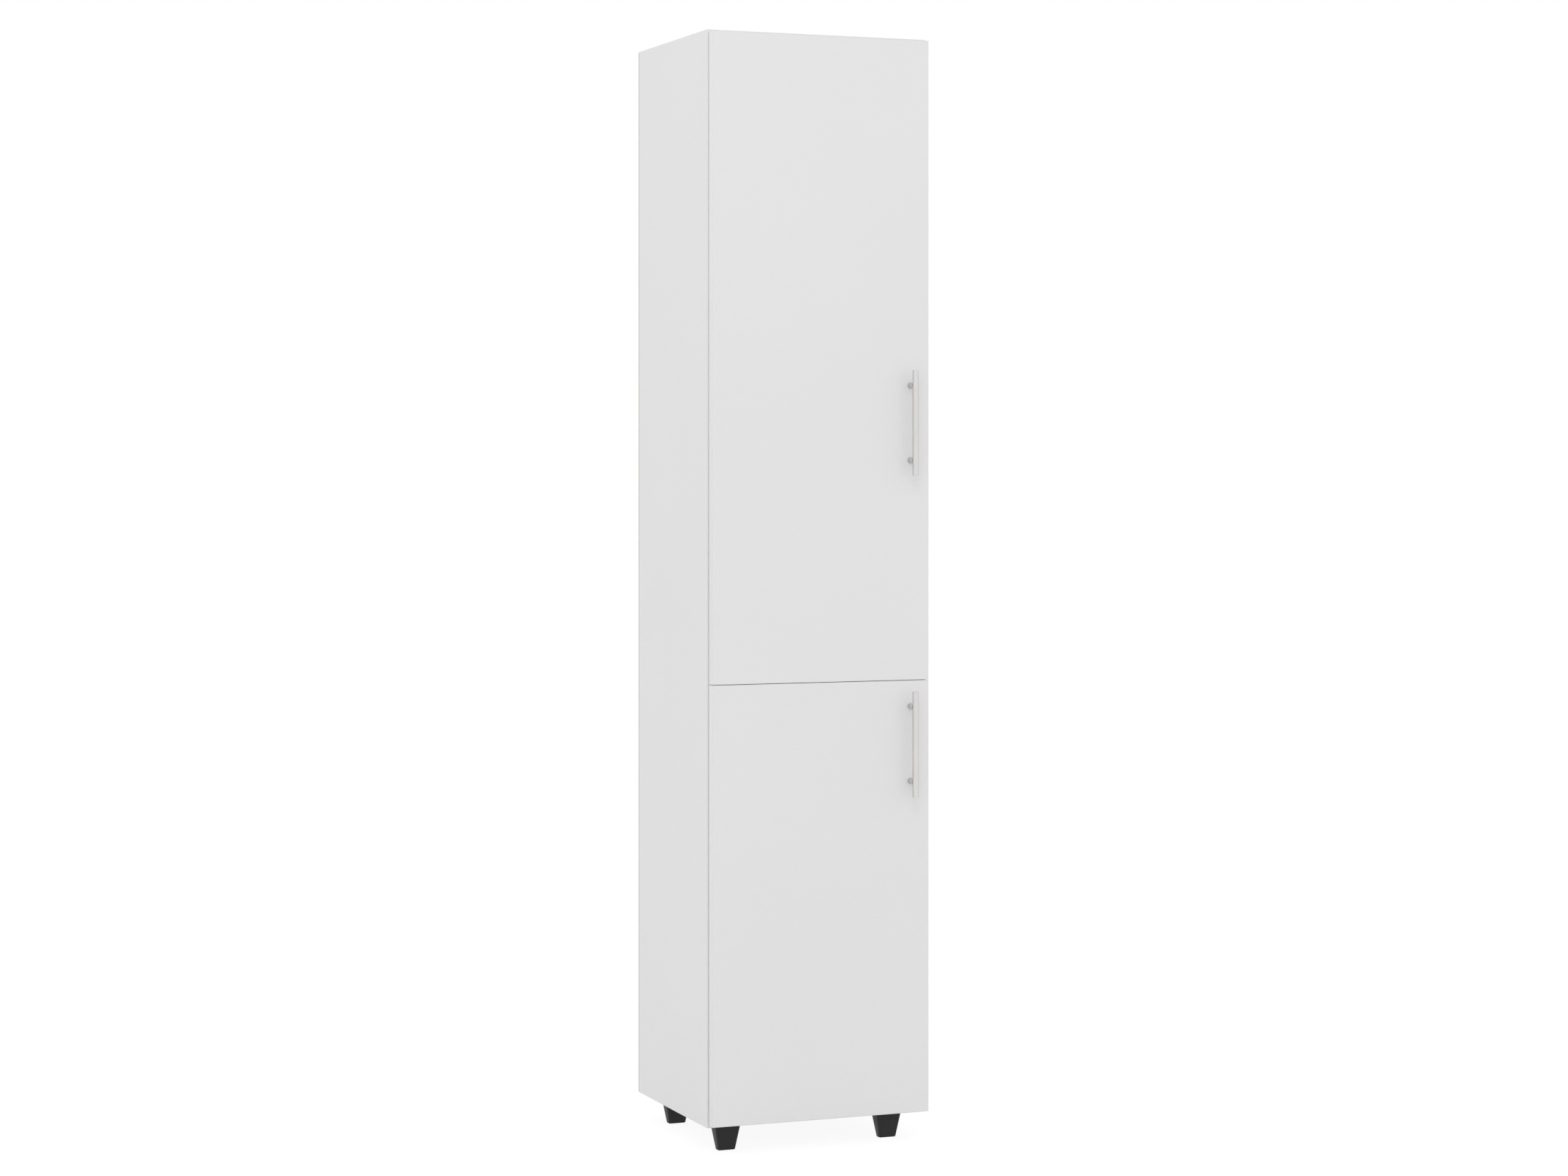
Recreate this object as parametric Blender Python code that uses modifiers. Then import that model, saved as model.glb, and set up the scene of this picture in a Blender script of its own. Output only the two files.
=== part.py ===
# Tall narrow cabinet: a white board carcass on four plastic feet, with a tall upper door
# over a shorter lower one. Both doors hang at the left on concealed four-bar hinges and
# have a vertical bar handle near the free edge.
# X runs right, Y runs back, Z runs up from the floor. The origin is under the middle.

import math

import bmesh
import bpy
from mathutils import Matrix, Vector

MM = 0.001

# Clearances
SEAT = 0.3 * MM
PIVOT_FIT = 0.2 * MM
SCREW_FIT = 0.5 * MM

# Carcass
CABINET_WIDTH = 400 * MM
CABINET_DEPTH = 354 * MM
CABINET_HEIGHT = 1890 * MM
BOARD = 16 * MM
BACK_BOARD = 3 * MM
BACK_INSET = 0.5 * MM
EDGE_ROUND = 0.8 * MM
FLOOR_CLEARANCE = 44 * MM

# Doors, measured from the carcass
DOOR_BOARD = 16 * MM
DOOR_BACK_GAP = 1.6 * MM
DOOR_LEFT_REVEAL = 2.2 * MM
DOOR_RIGHT_REVEAL = 1.8 * MM
DOOR_TOP_REVEAL = 3.75 * MM
DOOR_BOTTOM_REVEAL = 4 * MM
SEAM_HEIGHT = 745.2 * MM
SEAM_GAP = 1 * MM

# Loose shelves and their pegs
UPPER_SHELF_COUNT = 2
LOWER_SHELF_COUNT = 1
SHELF_SETBACK = 20 * MM
SHELF_BACK_GAP = 2 * MM
PEG_RADIUS = 2.5 * MM
PEG_IN_WALL = 8 * MM
PEG_OUT = 7.5 * MM
PEG_COLLAR_RADIUS = 4 * MM
PEG_COLLAR = 1.2 * MM
PEG_INSET = 37 * MM
PEG_PITCH = 32 * MM
PEG_ROWS = (-1, 0, 1)
PEG_SIDES = 8

# Feet
FOOT_WIDTH = 45.6 * MM
FOOT_DEPTH = 30.1 * MM
FOOT_DRAW_IN = 7.25 * MM
FOOT_CORNER = 4 * MM
FOOT_CHAMFER = 1.2 * MM
FOOT_LEFT_INSET = 44 * MM
FOOT_RIGHT_INSET = 60.3 * MM
FOOT_FRONT_INSET = 30.9 * MM
FOOT_BACK_INSET = 76 * MM

# Handles
BAR_RADIUS = 5 * MM
BAR_LENGTH = 180 * MM
BAR_STANDOFF = 23 * MM
BAR_END_ROUND = 0.6 * MM
POST_RADIUS = 5 * MM
POST_SPACING = 128 * MM
POST_SCREW_RADIUS = 2 * MM
POST_HEAD_RADIUS = 4.2 * MM
POST_HEAD = 1.8 * MM
HANDLE_EDGE_INSET = 34.2 * MM
UPPER_HANDLE_RISE = 440.3 * MM
LOWER_HANDLE_DROP = 108.2 * MM
HANDLE_SIDES = 16

# Hinges along the door edge
HINGE_END_INSET = 100 * MM
UPPER_HINGE_COUNT = 3
LOWER_HINGE_COUNT = 2

# Hinge cup, let into the back of the door
CUP_EDGE_INSET = 20.7 * MM
CUP_RADIUS = 17.5 * MM
CUP_WALL = 0.8 * MM
CUP_DEPTH = 11.5 * MM
CUP_FLOOR = 0.9 * MM
CUP_ROUND = 1 * MM
CUP_SIDES = 20
FLANGE = 1.2 * MM
FLANGE_LIP = 0.4 * MM
FLANGE_RADIUS = 18.7 * MM
FLANGE_START = 0.5 * MM
CUP_SCREW_SPACING = 45 * MM
CUP_SCREW_OFFSET = 9.5 * MM
CUP_WING_RADIUS = 4.5 * MM
HINGE_SCREW_RADIUS = 2.1 * MM

# Hinge pivots in plan with the door shut: first the distance to the right of the side
# panel's inner face, then the distance behind the carcass front
ARM_PIVOT_BACK = (24 * MM, 22 * MM)
ARM_PIVOT_FRONT = (15.678 * MM, 0.9 * MM)
CUP_PIVOT_OUTER = (-5.704 * MM, -3.6 * MM)
CUP_PIVOT_INNER = (-3.083 * MM, -6.351 * MM)
OUTER_KNEE = (19.745 * MM, -5.937 * MM)
INNER_KNEE = (1.206 * MM, -10.4 * MM)

# Turns while the door opens. Each share is of the door's own turn, the other way round.
DOOR_OPENING = math.radians(95)
OUTER_LINK_SHARE = 0.288
INNER_LINK_SHARE = 0.43

# Links and their pins
PIN_RADIUS = 1 * MM
LINK_HALF_WIDTH = 1.2 * MM
EYE_RADIUS = 2 * MM
LOOSE_EYE_PLAY = 0.7 * MM
LOOSE_EYE_WALL = 0.8 * MM
INNER_LINK_HALF_HEIGHT = 4 * MM
OUTER_LINK_SLOT_HALF = 4.6 * MM
OUTER_LINK_HALF_HEIGHT = 6.4 * MM
OUTER_LINK_HEEL = 7 * MM
PIN_SIDES = 12

# Hinge arm, a pressed channel over the mounting plate
ARM_INSIDE_HALF = 7 * MM
ARM_SHEET = 1.4 * MM
ARM_LENGTH = 64 * MM
ARM_LOW_EDGE = 3 * MM
ARM_BEND_BACK = 42 * MM
ARM_LOW_FRONT = 26 * MM
ARM_NOSE_RADIUS = 2.4 * MM
ARM_WEB_SLOPE = 14 * MM

# Mounting plate on the side panel
PLATE_WING = 2 * MM
PLATE_WING_RADIUS = 8 * MM
PLATE_SCREW_SPACING = 32 * MM
PLATE_SCREW_SETBACK = 37 * MM
PLATE_BRIDGE_RISE = 9 * MM
PLATE_BRIDGE_FRONT = 24 * MM
PLATE_BRIDGE_BACK = 62 * MM
PLATE_BRIDGE_LIFT = 0.5 * MM
PLATE_ROUND = 0.8 * MM

# Places worked out from the sizes above
FRONT_REACH = DOOR_BACK_GAP + DOOR_BOARD + BAR_STANDOFF + BAR_RADIUS
FRONT_Y = (FRONT_REACH - CABINET_DEPTH) / 2
BACK_Y = FRONT_Y + CABINET_DEPTH
SIDE_BACK_Y = BACK_Y - BACK_BOARD - SEAT
LEFT_X = -CABINET_WIDTH / 2
RIGHT_X = CABINET_WIDTH / 2
INNER_LEFT_X = LEFT_X + BOARD
INNER_RIGHT_X = RIGHT_X - BOARD
DOOR_LEFT_X = LEFT_X + DOOR_LEFT_REVEAL
DOOR_RIGHT_X = RIGHT_X - DOOR_RIGHT_REVEAL
DOOR_BACK_Y = FRONT_Y - DOOR_BACK_GAP
DOOR_FRONT_Y = DOOR_BACK_Y - DOOR_BOARD
SEAM_Z = FLOOR_CLEARANCE + SEAM_HEIGHT
HANDLE_X = DOOR_RIGHT_X - HANDLE_EDGE_INSET
CUP_OFFSET = DOOR_LEFT_X - INNER_LEFT_X + CUP_EDGE_INSET
CUP_BACK = -DOOR_BACK_GAP
CUP_BOTTOM = CUP_BACK - CUP_DEPTH
SHELF_END_GAP = SEAT + PEG_COLLAR + SEAT

# Turns a shape drawn in the X-Y plane to stand in the X-Z plane, facing the front
UPRIGHT = Matrix.Rotation(math.radians(90), 4, "X")
# Turns a shape drawn in the X-Y plane to stand in the Y-Z plane, facing right
SIDEWAYS = Matrix(((0, 0, 1, 0), (1, 0, 0, 0), (0, 1, 0, 0), (0, 0, 0, 1)))
# Turns a shape that stands along Z to lie along Y, its top at the back
BACKWARDS = Matrix.Rotation(math.radians(-90), 4, "X")


# Scene, collections and materials
def clear_scene():
    for item in list(bpy.data.objects):
        bpy.data.objects.remove(item)


def new_collection(name):
    collection = bpy.data.collections.new(name)
    bpy.context.scene.collection.children.link(collection)
    return collection


def new_material(name, colour, roughness, metallic=0.0):
    material = bpy.data.materials.new(name)
    material.use_nodes = True
    shader = material.node_tree.nodes["Principled BSDF"]
    shader.inputs["Base Color"].default_value = (*colour, 1)
    shader.inputs["Roughness"].default_value = roughness
    shader.inputs["Metallic"].default_value = metallic
    return material


clear_scene()
CABINET = new_collection("tall_narrow_cabinet")
CUTTERS = new_collection("cutters")

WHITE_BOARD = new_material("white_melamine_board", (0.78, 0.78, 0.77), 0.45)
WHITE_DOOR = new_material("white_satin_door_board", (0.8, 0.8, 0.79), 0.35)
HARDBOARD = new_material("painted_hardboard", (0.66, 0.63, 0.57), 0.7)
BLACK_PLASTIC = new_material("black_moulded_plastic", (0.03, 0.03, 0.03), 0.5)
SATIN_STEEL = new_material("satin_steel", (0.62, 0.62, 0.61), 0.3, 1)
NICKEL = new_material("nickel_plated_steel", (0.66, 0.65, 0.62), 0.25, 1)
ZINC = new_material("zinc_plated_steel", (0.58, 0.59, 0.6), 0.35, 1)


# Modelling helpers
def add_object(name, mesh, material=None, location=(0, 0, 0), parent=None):
    """A mesh as an object of the cabinet, or without a material as a helper that is cut away."""
    item = bpy.data.objects.new(name, mesh)
    if material is None:
        CUTTERS.objects.link(item)
        item.hide_render = True
        item.display_type = "WIRE"
    else:
        CABINET.objects.link(item)
        if not mesh.materials:
            mesh.materials.append(material)
    item.location = location
    if parent is not None:
        item.parent = parent
        item.location = Vector(location) - axis_point(parent)
    return item


def axis_point(empty):
    """The world place of an empty, found along its chain of parents."""
    place = empty.location.copy()
    while empty.parent is not None:
        empty = empty.parent
        place += empty.location
    return place


def add_axis(name, location, parent=None):
    """An empty on a joint's axis, which carries the pieces that turn there."""
    empty = bpy.data.objects.new(name, None)
    CABINET.objects.link(empty)
    empty.location = location
    if parent is not None:
        empty.parent = parent
        empty.location = Vector(location) - axis_point(parent)
    return empty


def mesh_from(name, work):
    mesh = bpy.data.meshes.new(name)
    work.to_mesh(mesh)
    work.free()
    return mesh


def box_mesh(name, size):
    work = bmesh.new()
    bmesh.ops.create_cube(work, size=1)
    bmesh.ops.scale(work, vec=size, verts=work.verts)
    return mesh_from(name, work)


def add_box(name, low, high, material=None, parent=None):
    low, high = Vector(low), Vector(high)
    return add_object(name, box_mesh(name, high - low), material, (low + high) / 2, parent)


def round_edges(item, width, segments=2):
    bevel = item.modifiers.new("rounded_edges", "BEVEL")
    bevel.width = width
    bevel.segments = segments
    bevel.limit_method = "ANGLE"
    bevel.angle_limit = math.radians(40)


def combine(item, tool, operation="DIFFERENCE", solver="EXACT"):
    boolean = item.modifiers.new(tool.name, "BOOLEAN")
    boolean.operation = operation
    boolean.solver = solver
    boolean.object = tool


def smooth(mesh, degrees=35):
    mesh.shade_smooth()
    mesh.set_sharp_from_angle(angle=math.radians(degrees))
    return mesh


def baked(item, tools=()):
    """The item's final mesh in world space. The item and the tools used on it are removed."""
    bpy.context.view_layer.update()
    depsgraph = bpy.context.evaluated_depsgraph_get()
    mesh = bpy.data.meshes.new_from_object(item.evaluated_get(depsgraph))
    mesh.transform(item.matrix_world)
    for used in (item, *tools):
        bpy.data.objects.remove(used)
    return mesh


def rods(name, places, radius, length, sides, turn=Matrix.Identity(4)):
    """One helper of straight rods along Z, turned and centred at the given places."""
    work = bmesh.new()
    for place in places:
        bmesh.ops.create_cone(
            work,
            cap_ends=True,
            segments=sides,
            radius1=radius,
            radius2=radius,
            depth=length,
            matrix=Matrix.Translation(place) @ turn,
        )
    return add_object(name, mesh_from(name, work))


def turned(name, profile, steps):
    """A body of revolution about Z from (radius, height) points that start and end on the axis."""
    work = bmesh.new()
    points = [work.verts.new((radius, 0, height)) for radius, height in profile]
    for first, second in zip(points, points[1:]):
        work.edges.new((first, second))
    item = add_object(name, mesh_from(name, work))
    screw = item.modifiers.new("turned", "SCREW")
    screw.steps = steps
    screw.render_steps = steps
    screw.use_merge_vertices = True
    screw.merge_threshold = 0.00001
    return item


def extruded(name, loops, low, high, frame=Matrix.Identity(4)):
    """A flat outline with its holes, given thickness from low to high along its normal."""
    curve = bpy.data.curves.new(name, "CURVE")
    curve.dimensions = "2D"
    curve.fill_mode = "BOTH"
    curve.extrude = (high - low) / 2
    for loop in loops:
        spline = curve.splines.new("POLY")
        spline.points.add(len(loop) - 1)
        for point, (across, along) in zip(spline.points, loop):
            point.co = (across, along, 0, 1)
        spline.use_cyclic_u = True
    item = bpy.data.objects.new(name, curve)
    CUTTERS.objects.link(item)
    item.matrix_world = frame @ Matrix.Translation((0, 0, (low + high) / 2))
    mesh = baked(item)
    work = bmesh.new()
    work.from_mesh(mesh)
    bmesh.ops.remove_doubles(work, verts=work.verts, dist=0.000001)
    bmesh.ops.recalc_face_normals(work, faces=work.faces)
    bpy.data.meshes.remove(mesh)
    return add_object(name, mesh_from(name, work))


# Flat outlines
def arc(centre, radius, start, end, sides=PIN_SIDES):
    """Points along an arc, with as many as a full circle of that many sides would have there."""
    steps = max(1, math.ceil(abs(end - start) / math.tau * sides))
    angles = [start + (end - start) * step / steps for step in range(steps + 1)]
    return [(centre[0] + radius * math.cos(a), centre[1] + radius * math.sin(a)) for a in angles]


def circle(centre, radius, sides=PIN_SIDES):
    return arc(centre, radius, 0, math.tau, sides)[:-1]


def heading(start, end):
    return math.atan2(end[1] - start[1], end[0] - start[0])


def belt(stops, sides=PIN_SIDES):
    """An outline run anticlockwise round (x, y, radius) stops like a belt. A stop of no radius
    is a plain corner."""
    runs = []
    for (x0, y0, r0), (x1, y1, r1) in zip(stops, stops[1:] + stops[:1]):
        lean = math.asin((r1 - r0) / math.dist((x0, y0), (x1, y1)))
        runs.append(heading((x0, y0), (x1, y1)) - lean)
    points = []
    for (x, y, radius), arriving, leaving in zip(stops, runs[-1:] + runs[:-1], runs):
        if radius == 0:
            points.append((x, y))
            continue
        sweep = (leaving - arriving) % math.tau
        start = arriving - math.pi / 2
        points += arc((x, y), radius, start, start + sweep, sides)
    return points


def bent_bar(start, knee, end, half, start_eye, end_eye):
    """The outline of a bar bent once, with a round eye at each end."""
    first = heading(start, knee)
    second = heading(knee, end)
    turn = (second - first + math.pi) % math.tau - math.pi

    def knee_side(side):
        if turn * side < 0:
            normal = first + side * math.pi / 2
            return arc(knee, half, normal, normal + turn)
        reach = half / math.cos(turn / 2)
        normal = first + turn / 2 + side * math.pi / 2
        return [(knee[0] + reach * math.cos(normal), knee[1] + reach * math.sin(normal))]

    start_lean = math.asin(half / start_eye)
    end_lean = math.asin(half / end_eye)
    back = second + math.pi
    points = arc(start, start_eye, first + start_lean, first + math.tau - start_lean)
    points += knee_side(-1)
    points += arc(end, end_eye, back + end_lean, back + math.tau - end_lean)
    points += reversed(knee_side(1))
    return points


# Boards of the carcass
def board(name, low, high, material=WHITE_BOARD, parent=None, segments=1):
    item = add_box(name, low, high, material, parent)
    round_edges(item, EDGE_ROUND, segments)
    return item


def level_board(name, middle, front, back, end_gap=SEAT):
    return board(
        name,
        (INNER_LEFT_X + end_gap, front, middle - BOARD / 2),
        (INNER_RIGHT_X - end_gap, back, middle + BOARD / 2),
    )


def shelf_levels(low, high, count):
    """Middle heights of loose shelves that share out the room between two fixed boards."""
    room = (high - low - count * BOARD) / (count + 1)
    return [low + room * (n + 1) + BOARD * (n + 0.5) for n in range(count)]


BOTTOM_Z = FLOOR_CLEARANCE + BOARD / 2
TOP_Z = CABINET_HEIGHT - BOARD / 2
LOWER_LEVELS = shelf_levels(BOTTOM_Z + BOARD / 2, SEAM_Z - BOARD / 2, LOWER_SHELF_COUNT)
UPPER_LEVELS = shelf_levels(SEAM_Z + BOARD / 2, TOP_Z - BOARD / 2, UPPER_SHELF_COUNT)
PEG_LEVELS = [level - BOARD / 2 - SEAT - PEG_RADIUS for level in LOWER_LEVELS + UPPER_LEVELS]
PEG_LINES = (FRONT_Y + PEG_INSET, SIDE_BACK_Y - PEG_INSET)


def side_panel(name, outer_x, inner_x):
    """A full-height side with its rows of blind holes for the shelf pegs."""
    item = board(
        name,
        (min(outer_x, inner_x), FRONT_Y, FLOOR_CLEARANCE),
        (max(outer_x, inner_x), SIDE_BACK_Y, CABINET_HEIGHT),
    )
    depth = PEG_IN_WALL + SEAT
    places = [
        (inner_x, line, level + row * PEG_PITCH)
        for line in PEG_LINES
        for level in PEG_LEVELS
        for row in PEG_ROWS
    ]
    holes = rods(name + "_peg_holes", places, PEG_RADIUS + SEAT, 2 * depth, PEG_SIDES, SIDEWAYS)
    combine(item, holes)


def build_carcass():
    side_panel("side_panel_left", LEFT_X, INNER_LEFT_X)
    side_panel("side_panel_right", RIGHT_X, INNER_RIGHT_X)
    level_board("bottom_panel", BOTTOM_Z, FRONT_Y, SIDE_BACK_Y)
    level_board("fixed_shelf", SEAM_Z, FRONT_Y, SIDE_BACK_Y)
    level_board("top_panel", TOP_Z, FRONT_Y, SIDE_BACK_Y)
    add_box(
        "back_panel",
        (LEFT_X + BACK_INSET, BACK_Y - BACK_BOARD, FLOOR_CLEARANCE + BACK_INSET),
        (RIGHT_X - BACK_INSET, BACK_Y, CABINET_HEIGHT - BACK_INSET),
        HARDBOARD,
    )


def peg_mesh():
    """A turned peg along Z: its tail in the wall, a collar, and the end that the shelf rests on."""
    tip = PEG_RADIUS * 0.4
    item = turned(
        "shelf_peg",
        [
            (0, PEG_OUT),
            (PEG_RADIUS - tip, PEG_OUT),
            (PEG_RADIUS, PEG_OUT - tip),
            (PEG_RADIUS, SEAT + PEG_COLLAR),
            (PEG_COLLAR_RADIUS, SEAT + PEG_COLLAR),
            (PEG_COLLAR_RADIUS, SEAT),
            (PEG_RADIUS, SEAT),
            (PEG_RADIUS, tip - PEG_IN_WALL),
            (PEG_RADIUS - tip, -PEG_IN_WALL),
            (0, -PEG_IN_WALL),
        ],
        PEG_SIDES,
    )
    return smooth(baked(item))


def build_loose_shelves():
    front = FRONT_Y + SHELF_SETBACK
    back = SIDE_BACK_Y - SHELF_BACK_GAP
    names = [f"lower_shelf_{n + 1}" for n in range(LOWER_SHELF_COUNT)]
    names += [f"upper_shelf_{n + 1}" for n in range(UPPER_SHELF_COUNT)]
    peg = peg_mesh()
    for name, level, peg_z in zip(names, LOWER_LEVELS + UPPER_LEVELS, PEG_LEVELS):
        level_board(name, level, front, back, SHELF_END_GAP)
        for side, wall_x, facing in (("left", INNER_LEFT_X, 1), ("right", INNER_RIGHT_X, -1)):
            for place, line in zip(("front", "back"), PEG_LINES):
                pin = add_object(f"{name}_peg_{side}_{place}", peg, NICKEL, (wall_x, line, peg_z))
                pin.rotation_euler = (0, facing * math.pi / 2, 0)


# Feet
def foot_mesh():
    """A block that draws in on all four sides down to its sole, with rounded corners."""
    height = FLOOR_CLEARANCE - SEAT
    work = bmesh.new()
    bmesh.ops.create_cube(work, size=1)
    bmesh.ops.scale(work, vec=(FOOT_WIDTH, FOOT_DEPTH, height), verts=work.verts)
    bmesh.ops.translate(work, vec=(0, 0, height / 2), verts=work.verts)
    upright = [edge for edge in work.edges if abs(edge.verts[0].co.z - edge.verts[1].co.z) > MM]
    sole = [vert for vert in work.verts if vert.co.z < MM]
    narrower = 1 - 2 * FOOT_DRAW_IN / FOOT_WIDTH
    shallower = 1 - 2 * FOOT_DRAW_IN / FOOT_DEPTH
    bmesh.ops.scale(work, vec=(narrower, shallower, 1), verts=sole)
    bmesh.ops.bevel(
        work,
        geom=upright,
        offset=FOOT_CORNER,
        offset_type="OFFSET",
        segments=3,
        profile=0.5,
        affect="EDGES",
    )
    rim = [edge for edge in work.edges if max(vert.co.z for vert in edge.verts) < MM]
    bmesh.ops.bevel(
        work,
        geom=rim,
        offset=FOOT_CHAMFER,
        offset_type="OFFSET",
        segments=1,
        affect="EDGES",
    )
    bmesh.ops.recalc_face_normals(work, faces=work.faces)
    return smooth(mesh_from("foot", work), 30)


def build_feet():
    mesh = foot_mesh()
    columns = (("left", LEFT_X + FOOT_LEFT_INSET), ("right", RIGHT_X - FOOT_RIGHT_INSET))
    rows = (("front", FRONT_Y + FOOT_FRONT_INSET), ("back", BACK_Y - FOOT_BACK_INSET))
    for side, x in columns:
        for end, y in rows:
            add_object(f"foot_{end}_{side}", mesh, BLACK_PLASTIC, (x, y, 0))


# Handles
def post_mesh():
    """A post with its screw and the screw's head, turned along Z from the door's face."""
    head_top = -DOOR_BOARD - SEAT
    post = turned(
        "handle_post",
        [
            (0, BAR_STANDOFF),
            (POST_RADIUS, BAR_STANDOFF),
            (POST_RADIUS, SEAT),
            (POST_SCREW_RADIUS, SEAT),
            (POST_SCREW_RADIUS, head_top),
            (POST_HEAD_RADIUS, head_top),
            (POST_HEAD_RADIUS, head_top - POST_HEAD / 2),
            (POST_HEAD_RADIUS * 0.7, head_top - POST_HEAD),
            (0, head_top - POST_HEAD),
        ],
        HANDLE_SIDES,
    )
    saddle = rods(
        "bar_saddle",
        [(0, 0, BAR_STANDOFF)],
        BAR_RADIUS + SEAT,
        4 * POST_RADIUS,
        HANDLE_SIDES,
        BACKWARDS,
    )
    combine(post, saddle)
    mesh = baked(post, [saddle])
    mesh.transform(UPRIGHT)
    return smooth(mesh)


def build_handle(name, middle, mesh, axis):
    work = bmesh.new()
    bmesh.ops.create_cone(
        work,
        cap_ends=True,
        segments=HANDLE_SIDES,
        radius1=BAR_RADIUS,
        radius2=BAR_RADIUS,
        depth=BAR_LENGTH,
    )
    bar_place = (HANDLE_X, DOOR_FRONT_Y - BAR_STANDOFF, middle)
    bar_mesh = smooth(mesh_from(name + "_bar", work))
    bar = add_object(name + "_bar", bar_mesh, SATIN_STEEL, bar_place, axis)
    round_edges(bar, BAR_END_ROUND, 1)
    for end, z in (("top", middle + POST_SPACING / 2), ("bottom", middle - POST_SPACING / 2)):
        place = (HANDLE_X, DOOR_FRONT_Y, z)
        add_object(f"{name}_post_{end}", mesh, SATIN_STEEL, place, axis)


# Hinge pieces, drawn with X to the right of the side panel's inner face, Y behind the carcass
# front and Z from the hinge's middle
def pivot_pins(name, pivots, half_length):
    places = [(*pivot, 0) for pivot in pivots]
    return rods(name, places, PIN_RADIUS, 2 * half_length, PIN_SIDES)


def cup_mesh():
    """The turned cup with its screw flange and the two pins that the links turn on."""
    inside = CUP_RADIUS - CUP_WALL
    rim = CUP_BACK + SEAT + FLANGE - FLANGE_LIP
    floor = CUP_BOTTOM + CUP_FLOOR
    shell = turned(
        "cup_shell",
        [
            (0, floor),
            (inside - CUP_ROUND, floor),
            (inside, floor + CUP_ROUND),
            (inside, rim),
            (CUP_RADIUS, rim),
            (CUP_RADIUS, CUP_BOTTOM + CUP_ROUND),
            (CUP_RADIUS - CUP_ROUND, CUP_BOTTOM),
            (0, CUP_BOTTOM),
        ],
        CUP_SIDES,
    )
    shell_mesh = baked(shell)
    shell_mesh.transform(Matrix.Translation((CUP_OFFSET, 0, 0)) @ BACKWARDS)
    shell = add_object("cup_shell", shell_mesh)

    screw_x = CUP_OFFSET + CUP_SCREW_OFFSET
    screw_z = CUP_SCREW_SPACING / 2
    outline = belt(
        [
            (screw_x, -screw_z, CUP_WING_RADIUS),
            (CUP_OFFSET, 0, FLANGE_RADIUS),
            (screw_x, screw_z, CUP_WING_RADIUS),
            (CUP_OFFSET, 0, FLANGE_RADIUS),
        ],
        CUP_SIDES,
    )
    loops = [
        outline,
        circle((CUP_OFFSET, 0), CUP_RADIUS - CUP_WALL / 2, CUP_SIDES),
        circle((screw_x, screw_z), HINGE_SCREW_RADIUS),
        circle((screw_x, -screw_z), HINGE_SCREW_RADIUS),
    ]
    seat = CUP_BACK + SEAT
    flange = extruded("cup_flange", loops, -seat - FLANGE, -seat, UPRIGHT)
    relief = add_box(
        "cup_relief",
        (CUP_OFFSET - 2 * CUP_RADIUS, CUP_BACK, -2 * CUP_RADIUS),
        (FLANGE_START, -CUP_BACK, 2 * CUP_RADIUS),
    )
    # The pins run into the wall all round and end inside it
    pins = pivot_pins("cup_pins", (CUP_PIVOT_OUTER, CUP_PIVOT_INNER), CUP_RADIUS)
    middle_radius = CUP_RADIUS - CUP_WALL / 2
    middle = [(CUP_OFFSET, CUP_BOTTOM, 0)]
    core = rods("cup_core", middle, middle_radius, 2 * CUP_DEPTH, CUP_SIDES, BACKWARDS)
    combine(pins, core, "INTERSECT", "MANIFOLD")
    combine(shell, flange, "UNION", "MANIFOLD")
    combine(shell, relief, "DIFFERENCE", "MANIFOLD")
    combine(shell, pins, "UNION", "MANIFOLD")
    return smooth(baked(shell, [flange, relief, pins, core]))


def outer_link_mesh():
    """A forked link: solid at its heel on the arm, and two cheeks that straddle the inner link."""
    outline = bent_bar(
        ARM_PIVOT_BACK, OUTER_KNEE, CUP_PIVOT_OUTER, LINK_HALF_WIDTH, EYE_RADIUS, EYE_RADIUS
    )
    bore = PIN_RADIUS + PIVOT_FIT
    loops = [outline, circle(ARM_PIVOT_BACK, bore), circle(CUP_PIVOT_OUTER, bore)]
    link = extruded("outer_link", loops, -OUTER_LINK_HALF_HEIGHT, OUTER_LINK_HALF_HEIGHT)
    slot = add_box(
        "outer_link_slot",
        (CUP_PIVOT_OUTER[0] - BOARD, CUP_BOTTOM, -OUTER_LINK_SLOT_HALF),
        (ARM_PIVOT_BACK[0] + BOARD, ARM_PIVOT_BACK[1] - OUTER_LINK_HEEL, OUTER_LINK_SLOT_HALF),
    )
    combine(link, slot)
    return smooth(baked(link, [slot]))


def inner_link_mesh():
    """The inner link. Its eye on the arm has play, since that end is where the linkage is open."""
    middle = loose_eye_centre()
    loose_bore = PIN_RADIUS + LOOSE_EYE_PLAY + PIVOT_FIT
    outline = bent_bar(
        CUP_PIVOT_INNER,
        INNER_KNEE,
        middle,
        LINK_HALF_WIDTH,
        EYE_RADIUS,
        loose_bore + LOOSE_EYE_WALL,
    )
    loops = [outline, circle(CUP_PIVOT_INNER, PIN_RADIUS + PIVOT_FIT), circle(middle, loose_bore)]
    link = extruded("inner_link", loops, -INNER_LINK_HALF_HEIGHT, INNER_LINK_HALF_HEIGHT)
    return smooth(baked(link))


def turned_about(point, centre, angle):
    """A point of the plan turned clockwise about a centre."""
    across, along = point[0] - centre[0], point[1] - centre[1]
    cosine, sine = math.cos(angle), math.sin(angle)
    return (
        centre[0] + across * cosine + along * sine,
        centre[1] - across * sine + along * cosine,
    )


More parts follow.
